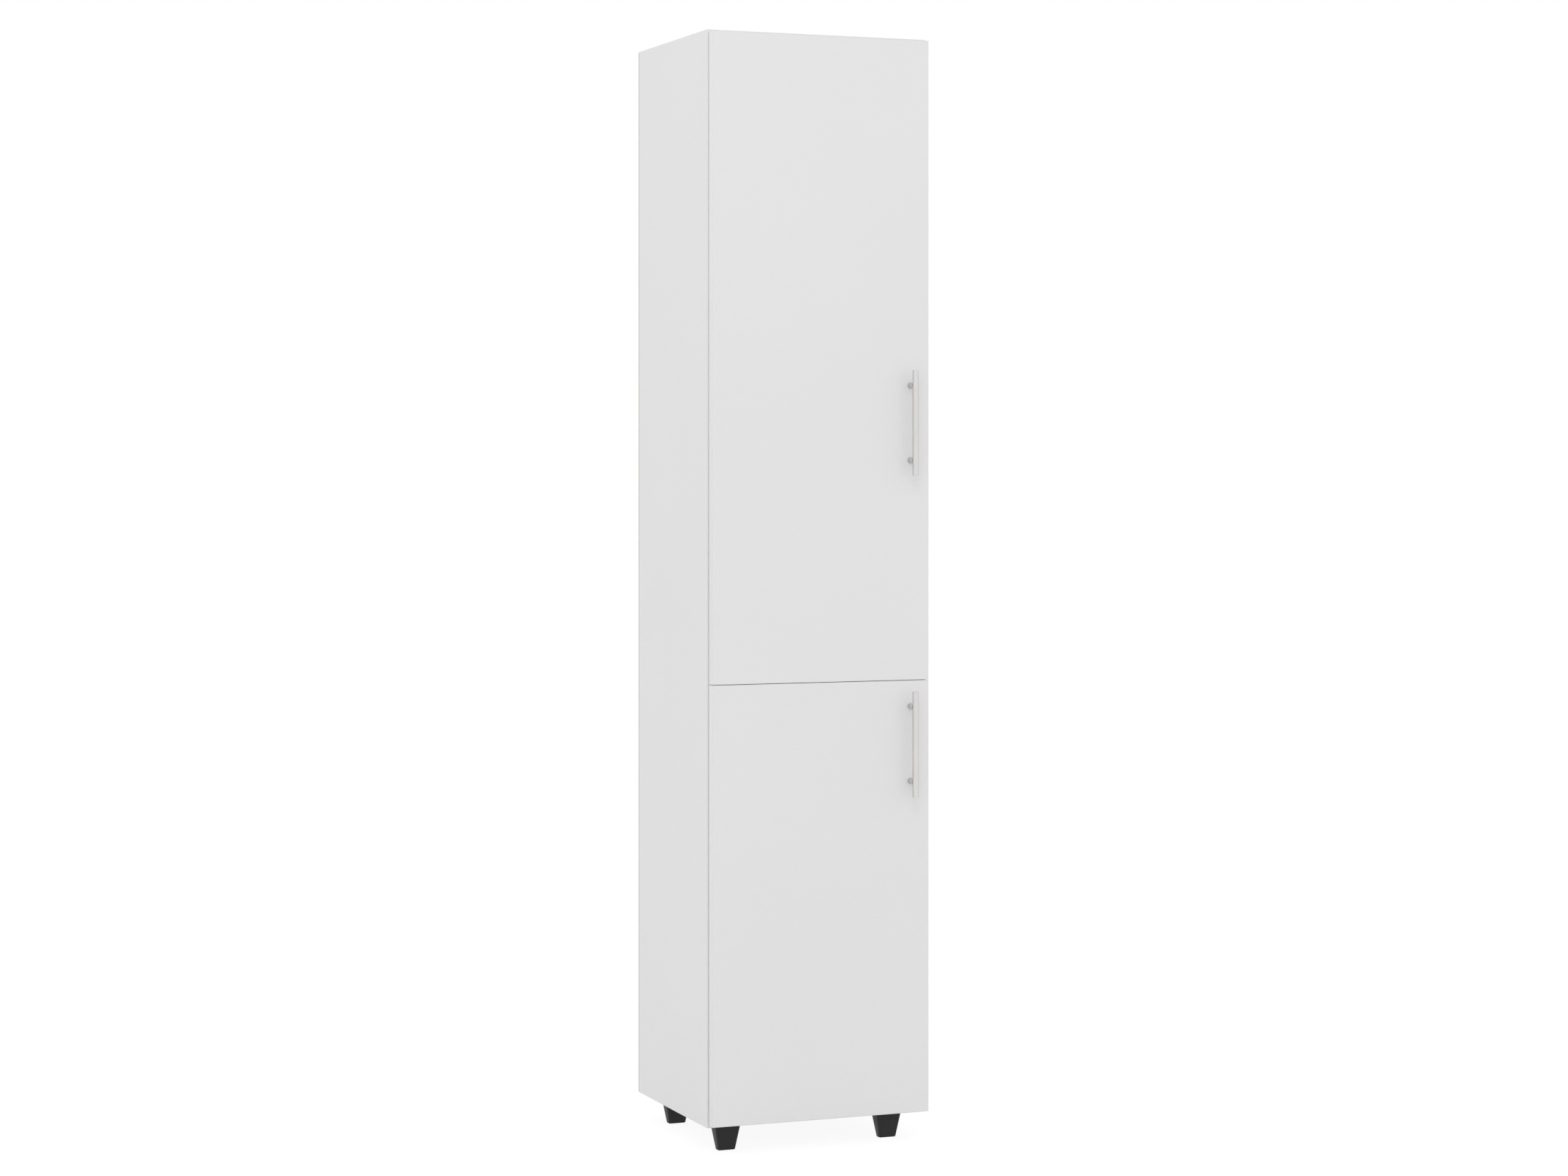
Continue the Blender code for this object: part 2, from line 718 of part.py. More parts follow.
def loose_eye_centre(steps=30):
    """The middle of the path that the arm's front pin takes past the inner link."""
    path = []
    for step in range(steps + 1):
        opening = DOOR_OPENING * step / steps
        outer_turn = -OUTER_LINK_SHARE * opening
        inner_turn = -INNER_LINK_SHARE * opening
        outer_cup_pin = turned_about(CUP_PIVOT_OUTER, ARM_PIVOT_BACK, outer_turn)
        at_door = (
            outer_cup_pin[0] + CUP_PIVOT_INNER[0] - CUP_PIVOT_OUTER[0],
            outer_cup_pin[1] + CUP_PIVOT_INNER[1] - CUP_PIVOT_OUTER[1],
        )
        inner_cup_pin = turned_about(at_door, outer_cup_pin, opening)
        from_link = turned_about(ARM_PIVOT_FRONT, inner_cup_pin, -inner_turn)
        path.append(
            (
                CUP_PIVOT_INNER[0] + from_link[0] - inner_cup_pin[0],
                CUP_PIVOT_INNER[1] + from_link[1] - inner_cup_pin[1],
            )
        )
    across = [point[0] for point in path]
    along = [point[1] for point in path]
    return ((min(across) + max(across)) / 2, (min(along) + max(along)) / 2)


def arm_mesh():
    """The arm: a channel whose two cheeks rise to a nose that holds the links' pins."""
    inner_top = PLATE_BRIDGE_RISE + SEAT
    top = inner_top + ARM_SHEET
    outline = belt(
        [
            (ARM_LOW_EDGE, ARM_LENGTH, 0),
            (ARM_LOW_EDGE, ARM_LOW_FRONT, 0),
            (*ARM_PIVOT_FRONT, ARM_NOSE_RADIUS),
            (*ARM_PIVOT_BACK, ARM_NOSE_RADIUS),
            (top, ARM_BEND_BACK, 0),
            (top, ARM_LENGTH, 0),
        ]
    )
    outside_half = ARM_INSIDE_HALF + ARM_SHEET
    arm = extruded("arm", [outline], -outside_half, outside_half)

    # The hollow leaves the sheet along the channel's top and part of the way up the slope
    slope = heading(ARM_PIVOT_BACK, (top, ARM_BEND_BACK))
    slope -= math.asin(-ARM_NOSE_RADIUS / math.dist(ARM_PIVOT_BACK, (top, ARM_BEND_BACK)))
    down = (-math.cos(slope), -math.sin(slope))
    inward = (-math.sin(slope), math.cos(slope))
    bend = (top + ARM_SHEET * inward[0], ARM_BEND_BACK + ARM_SHEET * inward[1])
    back_off = (bend[0] - inner_top) / down[0]
    corner = (inner_top, bend[1] - back_off * down[1])
    web_end = (bend[0] + ARM_WEB_SLOPE * down[0], bend[1] + ARM_WEB_SLOPE * down[1])
    through = 2 * ARM_SHEET
    web_side = (web_end[0] - through * inward[0], web_end[1] - through * inward[1])
    far = ARM_PIVOT_BACK[0] + 2 * ARM_NOSE_RADIUS
    hollow_loop = [
        (inner_top, ARM_LENGTH + BOARD),
        (-BOARD, ARM_LENGTH + BOARD),
        (-BOARD, -BOARD),
        (far, -BOARD),
        (far, web_side[1]),
        web_side,
        web_end,
        corner,
    ]
    hollow = extruded("arm_hollow", [hollow_loop], -ARM_INSIDE_HALF, ARM_INSIDE_HALF)
    combine(arm, hollow)
    pivots = (ARM_PIVOT_BACK, ARM_PIVOT_FRONT)
    pins = pivot_pins("arm_pins", pivots, ARM_INSIDE_HALF + ARM_SHEET / 2)
    combine(arm, pins, "UNION")
    return smooth(baked(arm, [hollow, pins]))


def plate_mesh():
    """The mounting plate: two screw wings and the bridge that the arm clamps on."""
    screw_z = PLATE_SCREW_SPACING / 2
    wings = belt(
        [
            (PLATE_SCREW_SETBACK, -screw_z, PLATE_WING_RADIUS),
            (PLATE_SCREW_SETBACK, screw_z, PLATE_WING_RADIUS),
        ],
        CUP_SIDES,
    )
    loops = [
        wings,
        circle((PLATE_SCREW_SETBACK, screw_z), HINGE_SCREW_RADIUS),
        circle((PLATE_SCREW_SETBACK, -screw_z), HINGE_SCREW_RADIUS),
    ]
    plate = extruded("plate_wings", loops, SEAT, SEAT + PLATE_WING, SIDEWAYS)
    half = ARM_INSIDE_HALF - SEAT
    bridge = add_box(
        "plate_bridge",
        (PLATE_BRIDGE_LIFT, PLATE_BRIDGE_FRONT, -half),
        (PLATE_BRIDGE_RISE, PLATE_BRIDGE_BACK, half),
    )
    round_edges(bridge, PLATE_ROUND, 1)
    combine(plate, bridge, "UNION")
    return smooth(baked(plate, [bridge]))


def build_hinges(prefix, heights, meshes, axes):
    for number, z in enumerate(heights, 1):
        place = (INNER_LEFT_X, FRONT_Y, z)
        name = f"{prefix}_hinge_{number}"
        add_object(name + "_mounting_plate", meshes["plate"], ZINC, place)
        add_object(name + "_arm", meshes["arm"], NICKEL, place)
        add_object(name + "_outer_link", meshes["outer_link"], ZINC, place, axes["outer"])
        add_object(name + "_cup", meshes["cup"], NICKEL, place, axes["door"])
        add_object(name + "_inner_link", meshes["inner_link"], ZINC, place, axes["inner"])


# Doors
def build_axes(prefix, middle):
    """The chain of joint axes: arm to outer link, outer link to door, door to inner link."""

    def world(pivot):
        return (INNER_LEFT_X + pivot[0], FRONT_Y + pivot[1], middle)

    outer = add_axis(prefix + "_outer_link_axis", world(ARM_PIVOT_BACK))
    door = add_axis(prefix + "_door_axis", world(CUP_PIVOT_OUTER), outer)
    inner = add_axis(prefix + "_inner_link_axis", world(CUP_PIVOT_INNER), door)
    return {"outer": outer, "door": door, "inner": inner}


def hinge_heights(low, high, count):
    first = low + HINGE_END_INSET
    step = (high - low - 2 * HINGE_END_INSET) / (count - 1)
    return [first + step * n for n in range(count)]


def build_door(prefix, low, high, hinge_count, handle_z, meshes):
    axes = build_axes(prefix, (low + high) / 2)
    heights = hinge_heights(low, high, hinge_count)
    door = board(
        prefix + "_door",
        (DOOR_LEFT_X, DOOR_FRONT_Y, low),
        (DOOR_RIGHT_X, DOOR_BACK_Y, high),
        WHITE_DOOR,
        axes["door"],
        2,
    )
    cup_x = DOOR_LEFT_X + CUP_EDGE_INSET
    bore_depth = CUP_DEPTH + SEAT
    bores = rods(
        prefix + "_cup_bores",
        [(cup_x, DOOR_BACK_Y, z) for z in heights],
        CUP_RADIUS + SEAT,
        2 * bore_depth,
        CUP_SIDES,
        BACKWARDS,
    )
    posts = (handle_z - POST_SPACING / 2, handle_z + POST_SPACING / 2)
    screw_holes = rods(
        prefix + "_handle_holes",
        [(HANDLE_X, (DOOR_FRONT_Y + DOOR_BACK_Y) / 2, z) for z in posts],
        POST_SCREW_RADIUS + SCREW_FIT,
        2 * DOOR_BOARD,
        PEG_SIDES,
        BACKWARDS,
    )
    combine(door, bores)
    combine(door, screw_holes)
    build_handle(prefix + "_handle", handle_z, meshes["post"], axes["door"])
    build_hinges(prefix, heights, meshes, axes)


def build_doors():
    meshes = {
        "cup": cup_mesh(),
        "outer_link": outer_link_mesh(),
        "inner_link": inner_link_mesh(),
        "arm": arm_mesh(),
        "plate": plate_mesh(),
        "post": post_mesh(),
    }
    lower_low = FLOOR_CLEARANCE + DOOR_BOTTOM_REVEAL
    lower_high = SEAM_Z - SEAM_GAP / 2
    upper_low = SEAM_Z + SEAM_GAP / 2
    upper_high = CABINET_HEIGHT - DOOR_TOP_REVEAL
    lower_handle_z = lower_high - LOWER_HANDLE_DROP
    upper_handle_z = upper_low + UPPER_HANDLE_RISE
    build_door("upper", upper_low, upper_high, UPPER_HINGE_COUNT, upper_handle_z, meshes)
    build_door("lower", lower_low, lower_high, LOWER_HINGE_COUNT, lower_handle_z, meshes)


build_carcass()
build_loose_shelves()
build_feet()
build_doors()
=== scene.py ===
import math

import bmesh
import bpy
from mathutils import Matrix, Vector


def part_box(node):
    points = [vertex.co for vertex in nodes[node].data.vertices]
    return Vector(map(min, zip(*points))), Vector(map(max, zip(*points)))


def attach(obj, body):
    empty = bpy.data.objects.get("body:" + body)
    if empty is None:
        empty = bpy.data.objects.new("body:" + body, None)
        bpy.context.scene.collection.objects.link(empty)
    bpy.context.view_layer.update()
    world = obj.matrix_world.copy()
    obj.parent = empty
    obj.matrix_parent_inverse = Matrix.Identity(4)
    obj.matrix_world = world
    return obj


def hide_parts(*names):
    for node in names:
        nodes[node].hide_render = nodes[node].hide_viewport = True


# Tall narrow cabinet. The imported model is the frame, and every piece below takes its place from it.
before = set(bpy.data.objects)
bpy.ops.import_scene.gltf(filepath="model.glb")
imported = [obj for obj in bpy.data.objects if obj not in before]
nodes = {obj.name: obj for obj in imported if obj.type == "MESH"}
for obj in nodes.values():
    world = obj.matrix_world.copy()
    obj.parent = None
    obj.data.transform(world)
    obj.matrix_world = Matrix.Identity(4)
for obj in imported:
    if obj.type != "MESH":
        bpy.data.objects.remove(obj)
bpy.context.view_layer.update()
print("frame loaded:", len(nodes), "nodes")

mm = 0.001
near = 0.01 * mm  # how close counts as level when faces and edges are picked
squarely = 0.9  # a normal with more than this along an axis faces that way
smoothBelow = math.radians(35)  # edges flatter than this are shaded smooth
white = (1, 1, 1, 1)

# camera
cameraSettings = {
    "place": (-2.173, -5.5027, 1.1773),
    "turn": -21.543,  # degrees to the right of straight ahead
    "lens": 77.92,
    "sensor": 36,
    "shiftY": -0.0857,
}


def addCamera(settings):
    heading = (math.radians(90), 0, math.radians(settings["turn"]))
    bpy.ops.object.camera_add(location=settings["place"], rotation=heading)
    camera = bpy.context.active_object
    camera.name = "photoCamera"
    camera.data.lens = settings["lens"]
    camera.data.sensor_width = settings["sensor"]
    camera.data.shift_y = settings["shiftY"]
    bpy.context.scene.camera = camera


addCamera(cameraSettings)
print("camera placed")


# modelling helpers
def clearSelection():
    if bpy.context.mode != "OBJECT":
        bpy.ops.object.mode_set(mode="OBJECT")
    bpy.ops.object.select_all(action="DESELECT")


def only(piece):
    clearSelection()
    piece.select_set(True)
    bpy.context.view_layer.objects.active = piece
    return piece


def settle(name):
    # names the active piece and puts its place into its mesh
    piece = only(bpy.context.active_object)
    bpy.ops.object.transform_apply(location=True, rotation=True, scale=True)
    piece.name = name
    piece.data.name = name
    return piece


def addBox(name, low, high):
    clearSelection()
    low, high = Vector(low), Vector(high)
    bpy.ops.mesh.primitive_cube_add(size=1, location=(low + high) / 2)
    bpy.context.active_object.scale = high - low
    return settle(name)


def addRod(name, start, along, radius, endRadius=None, sides=32):
    clearSelection()
    along = Vector(along)
    bpy.ops.mesh.primitive_cone_add(
        vertices=sides,
        radius1=radius,
        radius2=radius if endRadius is None else endRadius,
        depth=along.length,
        location=Vector(start) + along / 2,
        rotation=along.to_track_quat("Z", "Y").to_euler(),
    )
    return settle(name)


def editFaces(piece, test):
    # goes into edit mode with the faces selected whose centre and normal pass
    only(piece)
    bpy.ops.object.mode_set(mode="EDIT")
    bpy.ops.mesh.select_mode(type="FACE")
    bpy.ops.mesh.select_all(action="DESELECT")
    work = bmesh.from_edit_mesh(piece.data)
    for face in work.faces:
        face.select_set(bool(test(face.calc_center_median(), face.normal)))
    bmesh.update_edit_mesh(piece.data)


def editEdges(piece, test):
    # goes into edit mode with the edges selected whose two ends pass
    only(piece)
    bpy.ops.object.mode_set(mode="EDIT")
    bpy.ops.mesh.select_mode(type="EDGE")
    bpy.ops.mesh.select_all(action="DESELECT")
    work = bmesh.from_edit_mesh(piece.data)
    for edge in work.edges:
        edge.select_set(bool(test(edge.verts[0].co, edge.verts[1].co)))
    bmesh.update_edit_mesh(piece.data)


def leaveEdit():
    bpy.ops.object.mode_set(mode="OBJECT")


def applyModifier(piece, kind, **settings):
    only(piece)
    modifier = piece.modifiers.new(kind.lower(), kind)
    for key, value in settings.items():
        setattr(modifier, key, value)
    bpy.ops.object.modifier_apply(modifier=modifier.name)


def cutWith(piece, tool, operation="DIFFERENCE"):
    applyModifier(piece, "BOOLEAN", operation=operation, solver="EXACT", object=tool)
    bpy.data.objects.remove(tool)


def smoothed(piece, angle=smoothBelow):
    only(piece)
    bpy.ops.object.shade_smooth_by_angle(angle=angle)
    return piece


def soften(piece, width, segments=2, degrees=40):
    # rounds the sharp edges and shades the rest smoothly
    applyModifier(
        piece,
        "BEVEL",
        width=width,
        segments=segments,
        limit_method="ANGLE",
        angle_limit=math.radians(degrees),
        harden_normals=False,
    )
    return smoothed(piece)


def copyTo(piece, name, place=(0, 0, 0), outward=None):
    # outward is where the copy's own Z axis is turned to
    only(piece)
    bpy.ops.object.duplicate(linked=False)
    twin = bpy.context.active_object
    if outward:
        twin.rotation_euler = Vector(outward).to_track_quat("Z", "Y").to_euler()
    twin.location = place
    return settle(name)


def joined(name, parts):
    only(parts[0])
    for part in parts[1:]:
        part.select_set(True)
    bpy.ops.object.join()
    return settle(name)


def mergedCopy(node, name):
    # a node's mesh as whole faces, to be finished as a piece of its own
    clearSelection()
    piece = bpy.data.objects.new(name, nodes[node].data.copy())
    piece.data.materials.clear()
    bpy.context.scene.collection.objects.link(piece)
    only(piece)
    bpy.ops.object.mode_set(mode="EDIT")
    bpy.ops.mesh.select_all(action="SELECT")
    bpy.ops.mesh.remove_doubles(threshold=0.00001)
    bpy.ops.mesh.dissolve_limited(angle_limit=math.radians(1))
    leaveEdit()
    return piece


def dress(piece, body, material, replaced=()):
    if not piece.data.materials:
        piece.data.materials.append(material)
    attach(piece, body)
    if replaced:
        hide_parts(*replaced)
    return piece


# materials
def linearColour(code):
    values = [int(code[i:i + 2], 16) / 255 for i in (1, 3, 5)]
    return (*[v / 12.92 if v <= 0.04045 else ((v + 0.055) / 1.055) ** 2.4 for v in values], 1)


def addNode(tree, kind, settings=None, links=None):
    node = tree.nodes.new("ShaderNode" + kind)
    for key, value in (settings or {}).items():
        if key in node.inputs:
            node.inputs[key].default_value = value
        else:
            setattr(node, key, value)
    for key, source in (links or {}).items():
        tree.links.new(source, node.inputs[key])
    return node


def startMaterial(name, sockets):
    material = bpy.data.materials.new(name)
    material.use_nodes = True
    tree = material.node_tree
    shader = tree.nodes["Principled BSDF"]
    for key, value in sockets.items():
        shader.inputs[key].default_value = value
    place = addNode(tree, "TexCoord").outputs["Object"]
    return material, tree, shader, place


def finishSurface(tree, shader, tones, share, relief, height, roughness=None):
    # share says how much of the second tone shows at a point, and relief how high it stands.
    # Where roughness is given as a range, the gloss varies with the relief.
    tone = addNode(
        tree,
        "MixRGB",
        {"Color1": linearColour(tones[0]), "Color2": linearColour(tones[1])},
        {"Fac": share},
    )
    bump = addNode(tree, "Bump", {"Strength": 1, "Distance": height * mm}, {"Height": relief})
    tree.links.new(tone.outputs["Color"], shader.inputs["Base Color"])
    tree.links.new(bump.outputs["Normal"], shader.inputs["Normal"])
    if roughness:
        gloss = addNode(
            tree,
            "MapRange",
            {"From Min": 0.3, "From Max": 0.7, "To Min": roughness[0], "To Max": roughness[1]},
            {"Value": relief},
        )
        tree.links.new(gloss.outputs["Result"], shader.inputs["Roughness"])


def coatedMaterial(name, tones, patchSize, grainSize, grainHeight, roughness, ior=1.5):
    # a pressed, moulded or sprayed skin: two close tones in wide patches and a fine grain.
    # Sizes are in mm.
    material, tree, shader, place = startMaterial(name, {"IOR": ior})
    patches = addNode(tree, "TexNoise", {"Scale": 1000 / patchSize, "Detail": 3}, {"Vector": place})
    grain = addNode(tree, "TexNoise", {"Scale": 1000 / grainSize, "Detail": 4}, {"Vector": place})
    finishSurface(
        tree, shader, tones, patches.outputs["Fac"], grain.outputs["Fac"], grainHeight, roughness
    )
    return material


def metalMaterial(name, tones, patchSize, grainSize, stretch, grainHeight, roughness, rim):
    # bare or plated metal: stretch is how much longer the grain is along each axis
    material, tree, shader, place = startMaterial(name, {"Metallic": 1, "Specular Tint": linearColour(rim)})
    patches = addNode(tree, "TexNoise", {"Scale": 1000 / patchSize, "Detail": 2}, {"Vector": place})
    drawn = addNode(tree, "Mapping", {"Scale": [1 / s for s in stretch]}, {"Vector": place})
    grain = addNode(
        tree,
        "TexNoise",
        {"Scale": 1000 / grainSize, "Detail": 3},
        {"Vector": drawn.outputs["Vector"]},
    )
    finishSurface(
        tree, shader, tones, patches.outputs["Fac"], grain.outputs["Fac"], grainHeight, roughness
    )
    return material


def chipMaterial(name, tones, chipSize, stretch, chipHeight, roughness):
    # pressed wood: each cell of the pattern is one chip or clump of fibre with its own tone
    material, tree, shader, place = startMaterial(name, {"Roughness": roughness})
    laid = addNode(tree, "Mapping", {"Scale": [1 / s for s in stretch]}, {"Vector": place})
    chips = addNode(
        tree,
        "TexVoronoi",
        {"Scale": 1000 / chipSize, "Randomness": 1},
        {"Vector": laid.outputs["Vector"]},
    )
    grey = addNode(tree, "RGBToBW", {}, {"Color": chips.outputs["Color"]})
    finishSurface(tree, shader, tones, grey.outputs["Val"], chips.outputs["Distance"], chipHeight)
    return material


materials = {
    # particle board faced with white melamine paper, pressed against a pearl-textured plate:
    # an even, slightly cool white with a fine broken sheen. The real pearls are 0.3 mm wide
    # and are drawn at 1.6 mm to show.
    "board": coatedMaterial("whiteMelamineBoard", ("#e5e5e5", "#e8e8e8"), 240, 1.6, 0.02, (0.4, 0.5)),
    # door board with a smooth satin foil: a little glossier, with the soft waves of its core
    "door": coatedMaterial("whiteSatinDoorFoil", ("#e9e9e9", "#ececec"), 300, 6, 0.03, (0.3, 0.36)),
    # ABS edging, planed flush and buffed: smoother than the face that it borders
    "edging": coatedMaterial("whiteAbsEdging", ("#e6e6e6", "#e9e9e9"), 90, 1.2, 0.006, (0.26, 0.34)),
    # white moulded cover caps
    "cap": coatedMaterial("whiteMouldedCap", ("#e0e0de", "#e4e4e2"), 20, 0.8, 0.01, (0.34, 0.42)),
    # painted face of the hardboard back: thin rolled paint, flatter than the melamine
    "backFace": coatedMaterial("rolledWhiteBackPaint", ("#e2e2df", "#e6e6e4"), 120, 2.2, 0.04, (0.5, 0.6)),
    # black moulded polypropylene with spark-eroded texture, drawn at 0.7 mm
    "foot": coatedMaterial("blackMouldedPlastic", ("#1c1c1c", "#242424"), 12, 0.7, 0.05, (0.42, 0.55)),
    # raw particle board where it is drilled: beige chips 1 to 3 mm long, matt
    "chips": chipMaterial("rawParticleBoard", ("#8e7654", "#cdb78f"), 1.6, (1, 1, 1.8), 0.12, 0.9),
    # raw back and edge of hardboard: pale wood fibre, felted into small flat clumps
    "fibre": chipMaterial("rawHardboardFibre", ("#a99a7d", "#c9bb9e"), 1.1, (1.4, 1, 1.4), 0.05, 0.85),
    # satin steel rod, brushed along its length: streaks 0.2 mm wide are drawn at 0.6 mm
    "steel": metalMaterial(
        "brushedSatinSteel", ("#d6d5d3", "#dddcda"), 30, 0.6, (1, 1, 45), 0.004, (0.26, 0.34), "#c8c8c8"
    ),
    # the same steel on the posts, turned and tumbled: lighter, with a wider sheen
    "turned": metalMaterial(
        "tumbledSatinSteel", ("#e2e1df", "#e8e7e5"), 20, 0.8, (1, 1, 1), 0.004, (0.4, 0.48), "#d8d8d8"
    ),
    # bright nickel plating over stamped steel: warm grey, nearly smooth
    "nickel": metalMaterial(
        "brightNickelPlate", ("#c9c5bd", "#d6d2ca"), 14, 1.5, (1, 1, 1), 0.006, (0.16, 0.24), "#e0e0e0"
    ),
    # zinc plating on die-cast and pressed steel: bluish grey, cloudy
    "zinc": metalMaterial(
        "cloudyZincPlate", ("#b4b8bc", "#c6c9cc"), 6, 0.9, (1, 1, 1), 0.012, (0.3, 0.42), "#d8d8d8"
    ),
    # clear soft polyurethane, for the door's bumpers
    "bumper": coatedMaterial("clearSoftBumper", ("#eeeeea", "#f4f4f0"), 8, 1, 0.008, (0.2, 0.28), 1.49),
    # nylon glide pressed into the foot
    "glide": coatedMaterial("greyNylonGlide", ("#5a5a59", "#666665"), 8, 0.6, 0.03, (0.5, 0.62)),
}
for finish, socket, value in (
    ("bumper", "Transmission Weight", 0.85),  # clear, a little milky
    ("foot", "Specular IOR Level", 0.3),  # the texture takes most of the shine away
):
    materials[finish].node_tree.nodes["Principled BSDF"].inputs[socket].default_value = value
print("materials made:", len(materials))

# boards
sides = {  # the axis that each side faces along, and which way
    "left": (0, -1),
    "right": (0, 1),
    "front": (1, -1),
    "back": (1, 1),
    "bottom": (2, -1),
    "top": (2, 1),
}
boardSettings = {
    "band": 0.8 * mm,  # thickness of the edging
    # rounding of the edging on upright side edges, on front and back edges, and on top and
    # bottom edges, where two doors nearly meet
    "bandRound": (0.32 * mm, 0.75 * mm, 0.12 * mm),
    "faceRound": 0.12 * mm,  # leaves a hairline where the edging meets the face
    "skin": 0.3 * mm,  # deeper than this a drilled face is raw board
}


def addBands(name, low, high, edges, settings):
    # strips of edging. Each takes the outside of what is left of the board, so the first
    # ones run right through and the later ones fit between them.
    strips = []
    for edge in edges:
        axis, sign = sides[edge]
        stripLow, stripHigh = low.copy(), high.copy()
        if sign < 0:
            stripHigh[axis] = low[axis] + settings["band"]
            low[axis] = stripHigh[axis]
        else:
            stripLow[axis] = high[axis] - settings["band"]
            high[axis] = stripLow[axis]
        strip = addBox(f"{name}_{edge}", stripLow, stripHigh)
        outer = stripHigh[axis] if sign > 0 else stripLow[axis]
        size = stripHigh - stripLow
        longAxis = max(range(3), key=lambda k: size[k])
        through = len(strips) < 2

        def onRim(a, b):
            flat = abs(a[axis] - outer) < near and abs(b[axis] - outer) < near
            return flat and (through or abs(a[longAxis] - b[longAxis]) > mm)

        editEdges(strip, onRim)
        bpy.ops.mesh.bevel(offset=settings["bandRound"][axis], segments=3, affect="EDGES")
        leaveEdit()
        strips.append(strip)
    return smoothed(joined(name, strips))


def addBoard(node, edges, body, skin, tools=(), settings=boardSettings):
    low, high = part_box(node)
    if edges:
        band = addBands(node + "_edging", low, high, edges, settings)
        dress(band, body, materials["edging"])
    board = addBox(node + "_board", low, high)
    applyModifier(board, "BEVEL", width=settings["faceRound"], segments=1)
    for tool in tools:
        cutWith(board, tool)
    board.data.materials.clear()
    board.data.materials.append(materials[skin])
    board.data.materials.append(materials["chips"])
    if tools:
        skinDepth = settings["skin"]

        def isBare(centre, normal):
            return all(low[k] + skinDepth < centre[k] < high[k] - skinDepth for k in range(3))

        editFaces(board, isBare)
        board.active_material_index = 1
        bpy.ops.object.material_slot_assign()
        leaveEdit()
        smoothed(board, math.radians(30))
    return dress(board, body, materials[skin], [node])


pegHoleSettings = {
    "radius": 2.8 * mm,
    "depth": 8.3 * mm,
    "rim": 0.35 * mm,  # the drill's spurs leave a small bevel
    "pitch": 32 * mm,
    "sides": 28,
}


def addPegHoles(side, settings=pegHoleSettings):
    # a stepped drill at each loose shelf's pegs, and one hole's pitch below and above them
    facing = 1 if side == "left" else -1
    low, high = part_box("side_panel_" + side)
    face = high.x if side == "left" else low.x
    radius = settings["radius"]
    length = settings["depth"] - settings["rim"]
    wider = 1 + settings["rim"] / radius
    drills = []
    for node in sorted(nodes):
        if "_peg_" + side in node:
            pegLow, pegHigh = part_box(node)
            peg = (pegLow + pegHigh) / 2
            bottom = (face - facing * settings["depth"], peg.y, peg.z - settings["pitch"])
            drill = addRod("drill", bottom, (facing * length, 0, 0), radius, sides=settings["sides"])
            editFaces(drill, lambda centre, normal: normal.x * facing > squarely)
            rim = (facing * settings["rim"], 0, 0)
            bpy.ops.mesh.extrude_region_move(TRANSFORM_OT_translate={"value": rim})
            middle = (face, peg.y, peg.z - settings["pitch"])
            bpy.ops.transform.resize(value=(1, wider, wider), center_override=middle)
            bpy.ops.mesh.extrude_region_move(TRANSFORM_OT_translate={"value": (facing * mm, 0, 0)})
            leaveEdit()
            applyModifier(
                drill,
                "ARRAY",
                count=3,
                use_relative_offset=False,
                use_constant_offset=True,
                constant_offset_displace=(0, 0, settings["pitch"]),
            )
            drills.append(drill)
    return joined("drills", drills)


for side in ("left", "right"):
    edges = ("front", "back", "top", "bottom")
    addBoard("side_panel_" + side, edges, "cabinet", "board", [addPegHoles(side)])
for node in ("bottom_panel", "fixed_shelf", "top_panel"):
    addBoard(node, ("front",), "cabinet", "board")
for node in ("lower_shelf_1", "upper_shelf_1", "upper_shelf_2"):
    addBoard(node, ("front", "back", "left", "right"), "cabinet", "board")
print("carcass boards made")

cupSettings = {
    "fromEdge": 20.7 * mm,
    "radius": 17.5 * mm,
    "wall": 0.8 * mm,
    "depth": 11.5 * mm,
    "floor": 0.9 * mm,
    "round": 1.0 * mm,
    "seat": 0.3 * mm,
    "flange": 1.2 * mm,
    "lip": 0.4 * mm,
    "rimRadius": 18.7 * mm,
    "wingRadius": 4.5 * mm,
    "screwOffset": 9.5 * mm,
    "screwSpacing": 45 * mm,
    "screwHole": 2.1 * mm,
    "drill": 4 * mm,  # length of what bores the flange
    "start": 0.5 * mm,  # how far the flange stays clear of the side panel
    "sides": 64,
}
doorSettings = {
    "edges": ("left", "right", "top", "bottom"),
    "handleHole": 2.5 * mm,
}
hinges = {
    prefix: sorted(n[:-4] for n in nodes if n.startswith(prefix) and n.endswith("_cup"))
    for prefix in ("upper", "lower")
}


def middleOf(node):
    low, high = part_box(node)
    return (low + high) / 2


for prefix in ("upper", "lower"):
    doorLow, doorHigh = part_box(prefix + "_door")
    tools = []
    for hinge in hinges[prefix]:
        start = (doorLow.x + cupSettings["fromEdge"], doorHigh.y + mm, middleOf(hinge + "_cup").z)
        depth = cupSettings["depth"] + cupSettings["seat"] + mm
        bore = cupSettings["radius"] + cupSettings["seat"]
        tools.append(addRod("bore", start, (0, -depth, 0), bore, sides=cupSettings["sides"]))
    for end in ("top", "bottom"):
        post = middleOf(f"{prefix}_handle_post_{end}")
        start = (post.x, doorLow.y - mm, post.z)
        through = doorHigh.y - doorLow.y + 2 * mm
        tools.append(addRod("hole", start, (0, through, 0), doorSettings["handleHole"], sides=24))
    addBoard(prefix + "_door", doorSettings["edges"], prefix + "_leaf", "door", tools)
print("doors made")

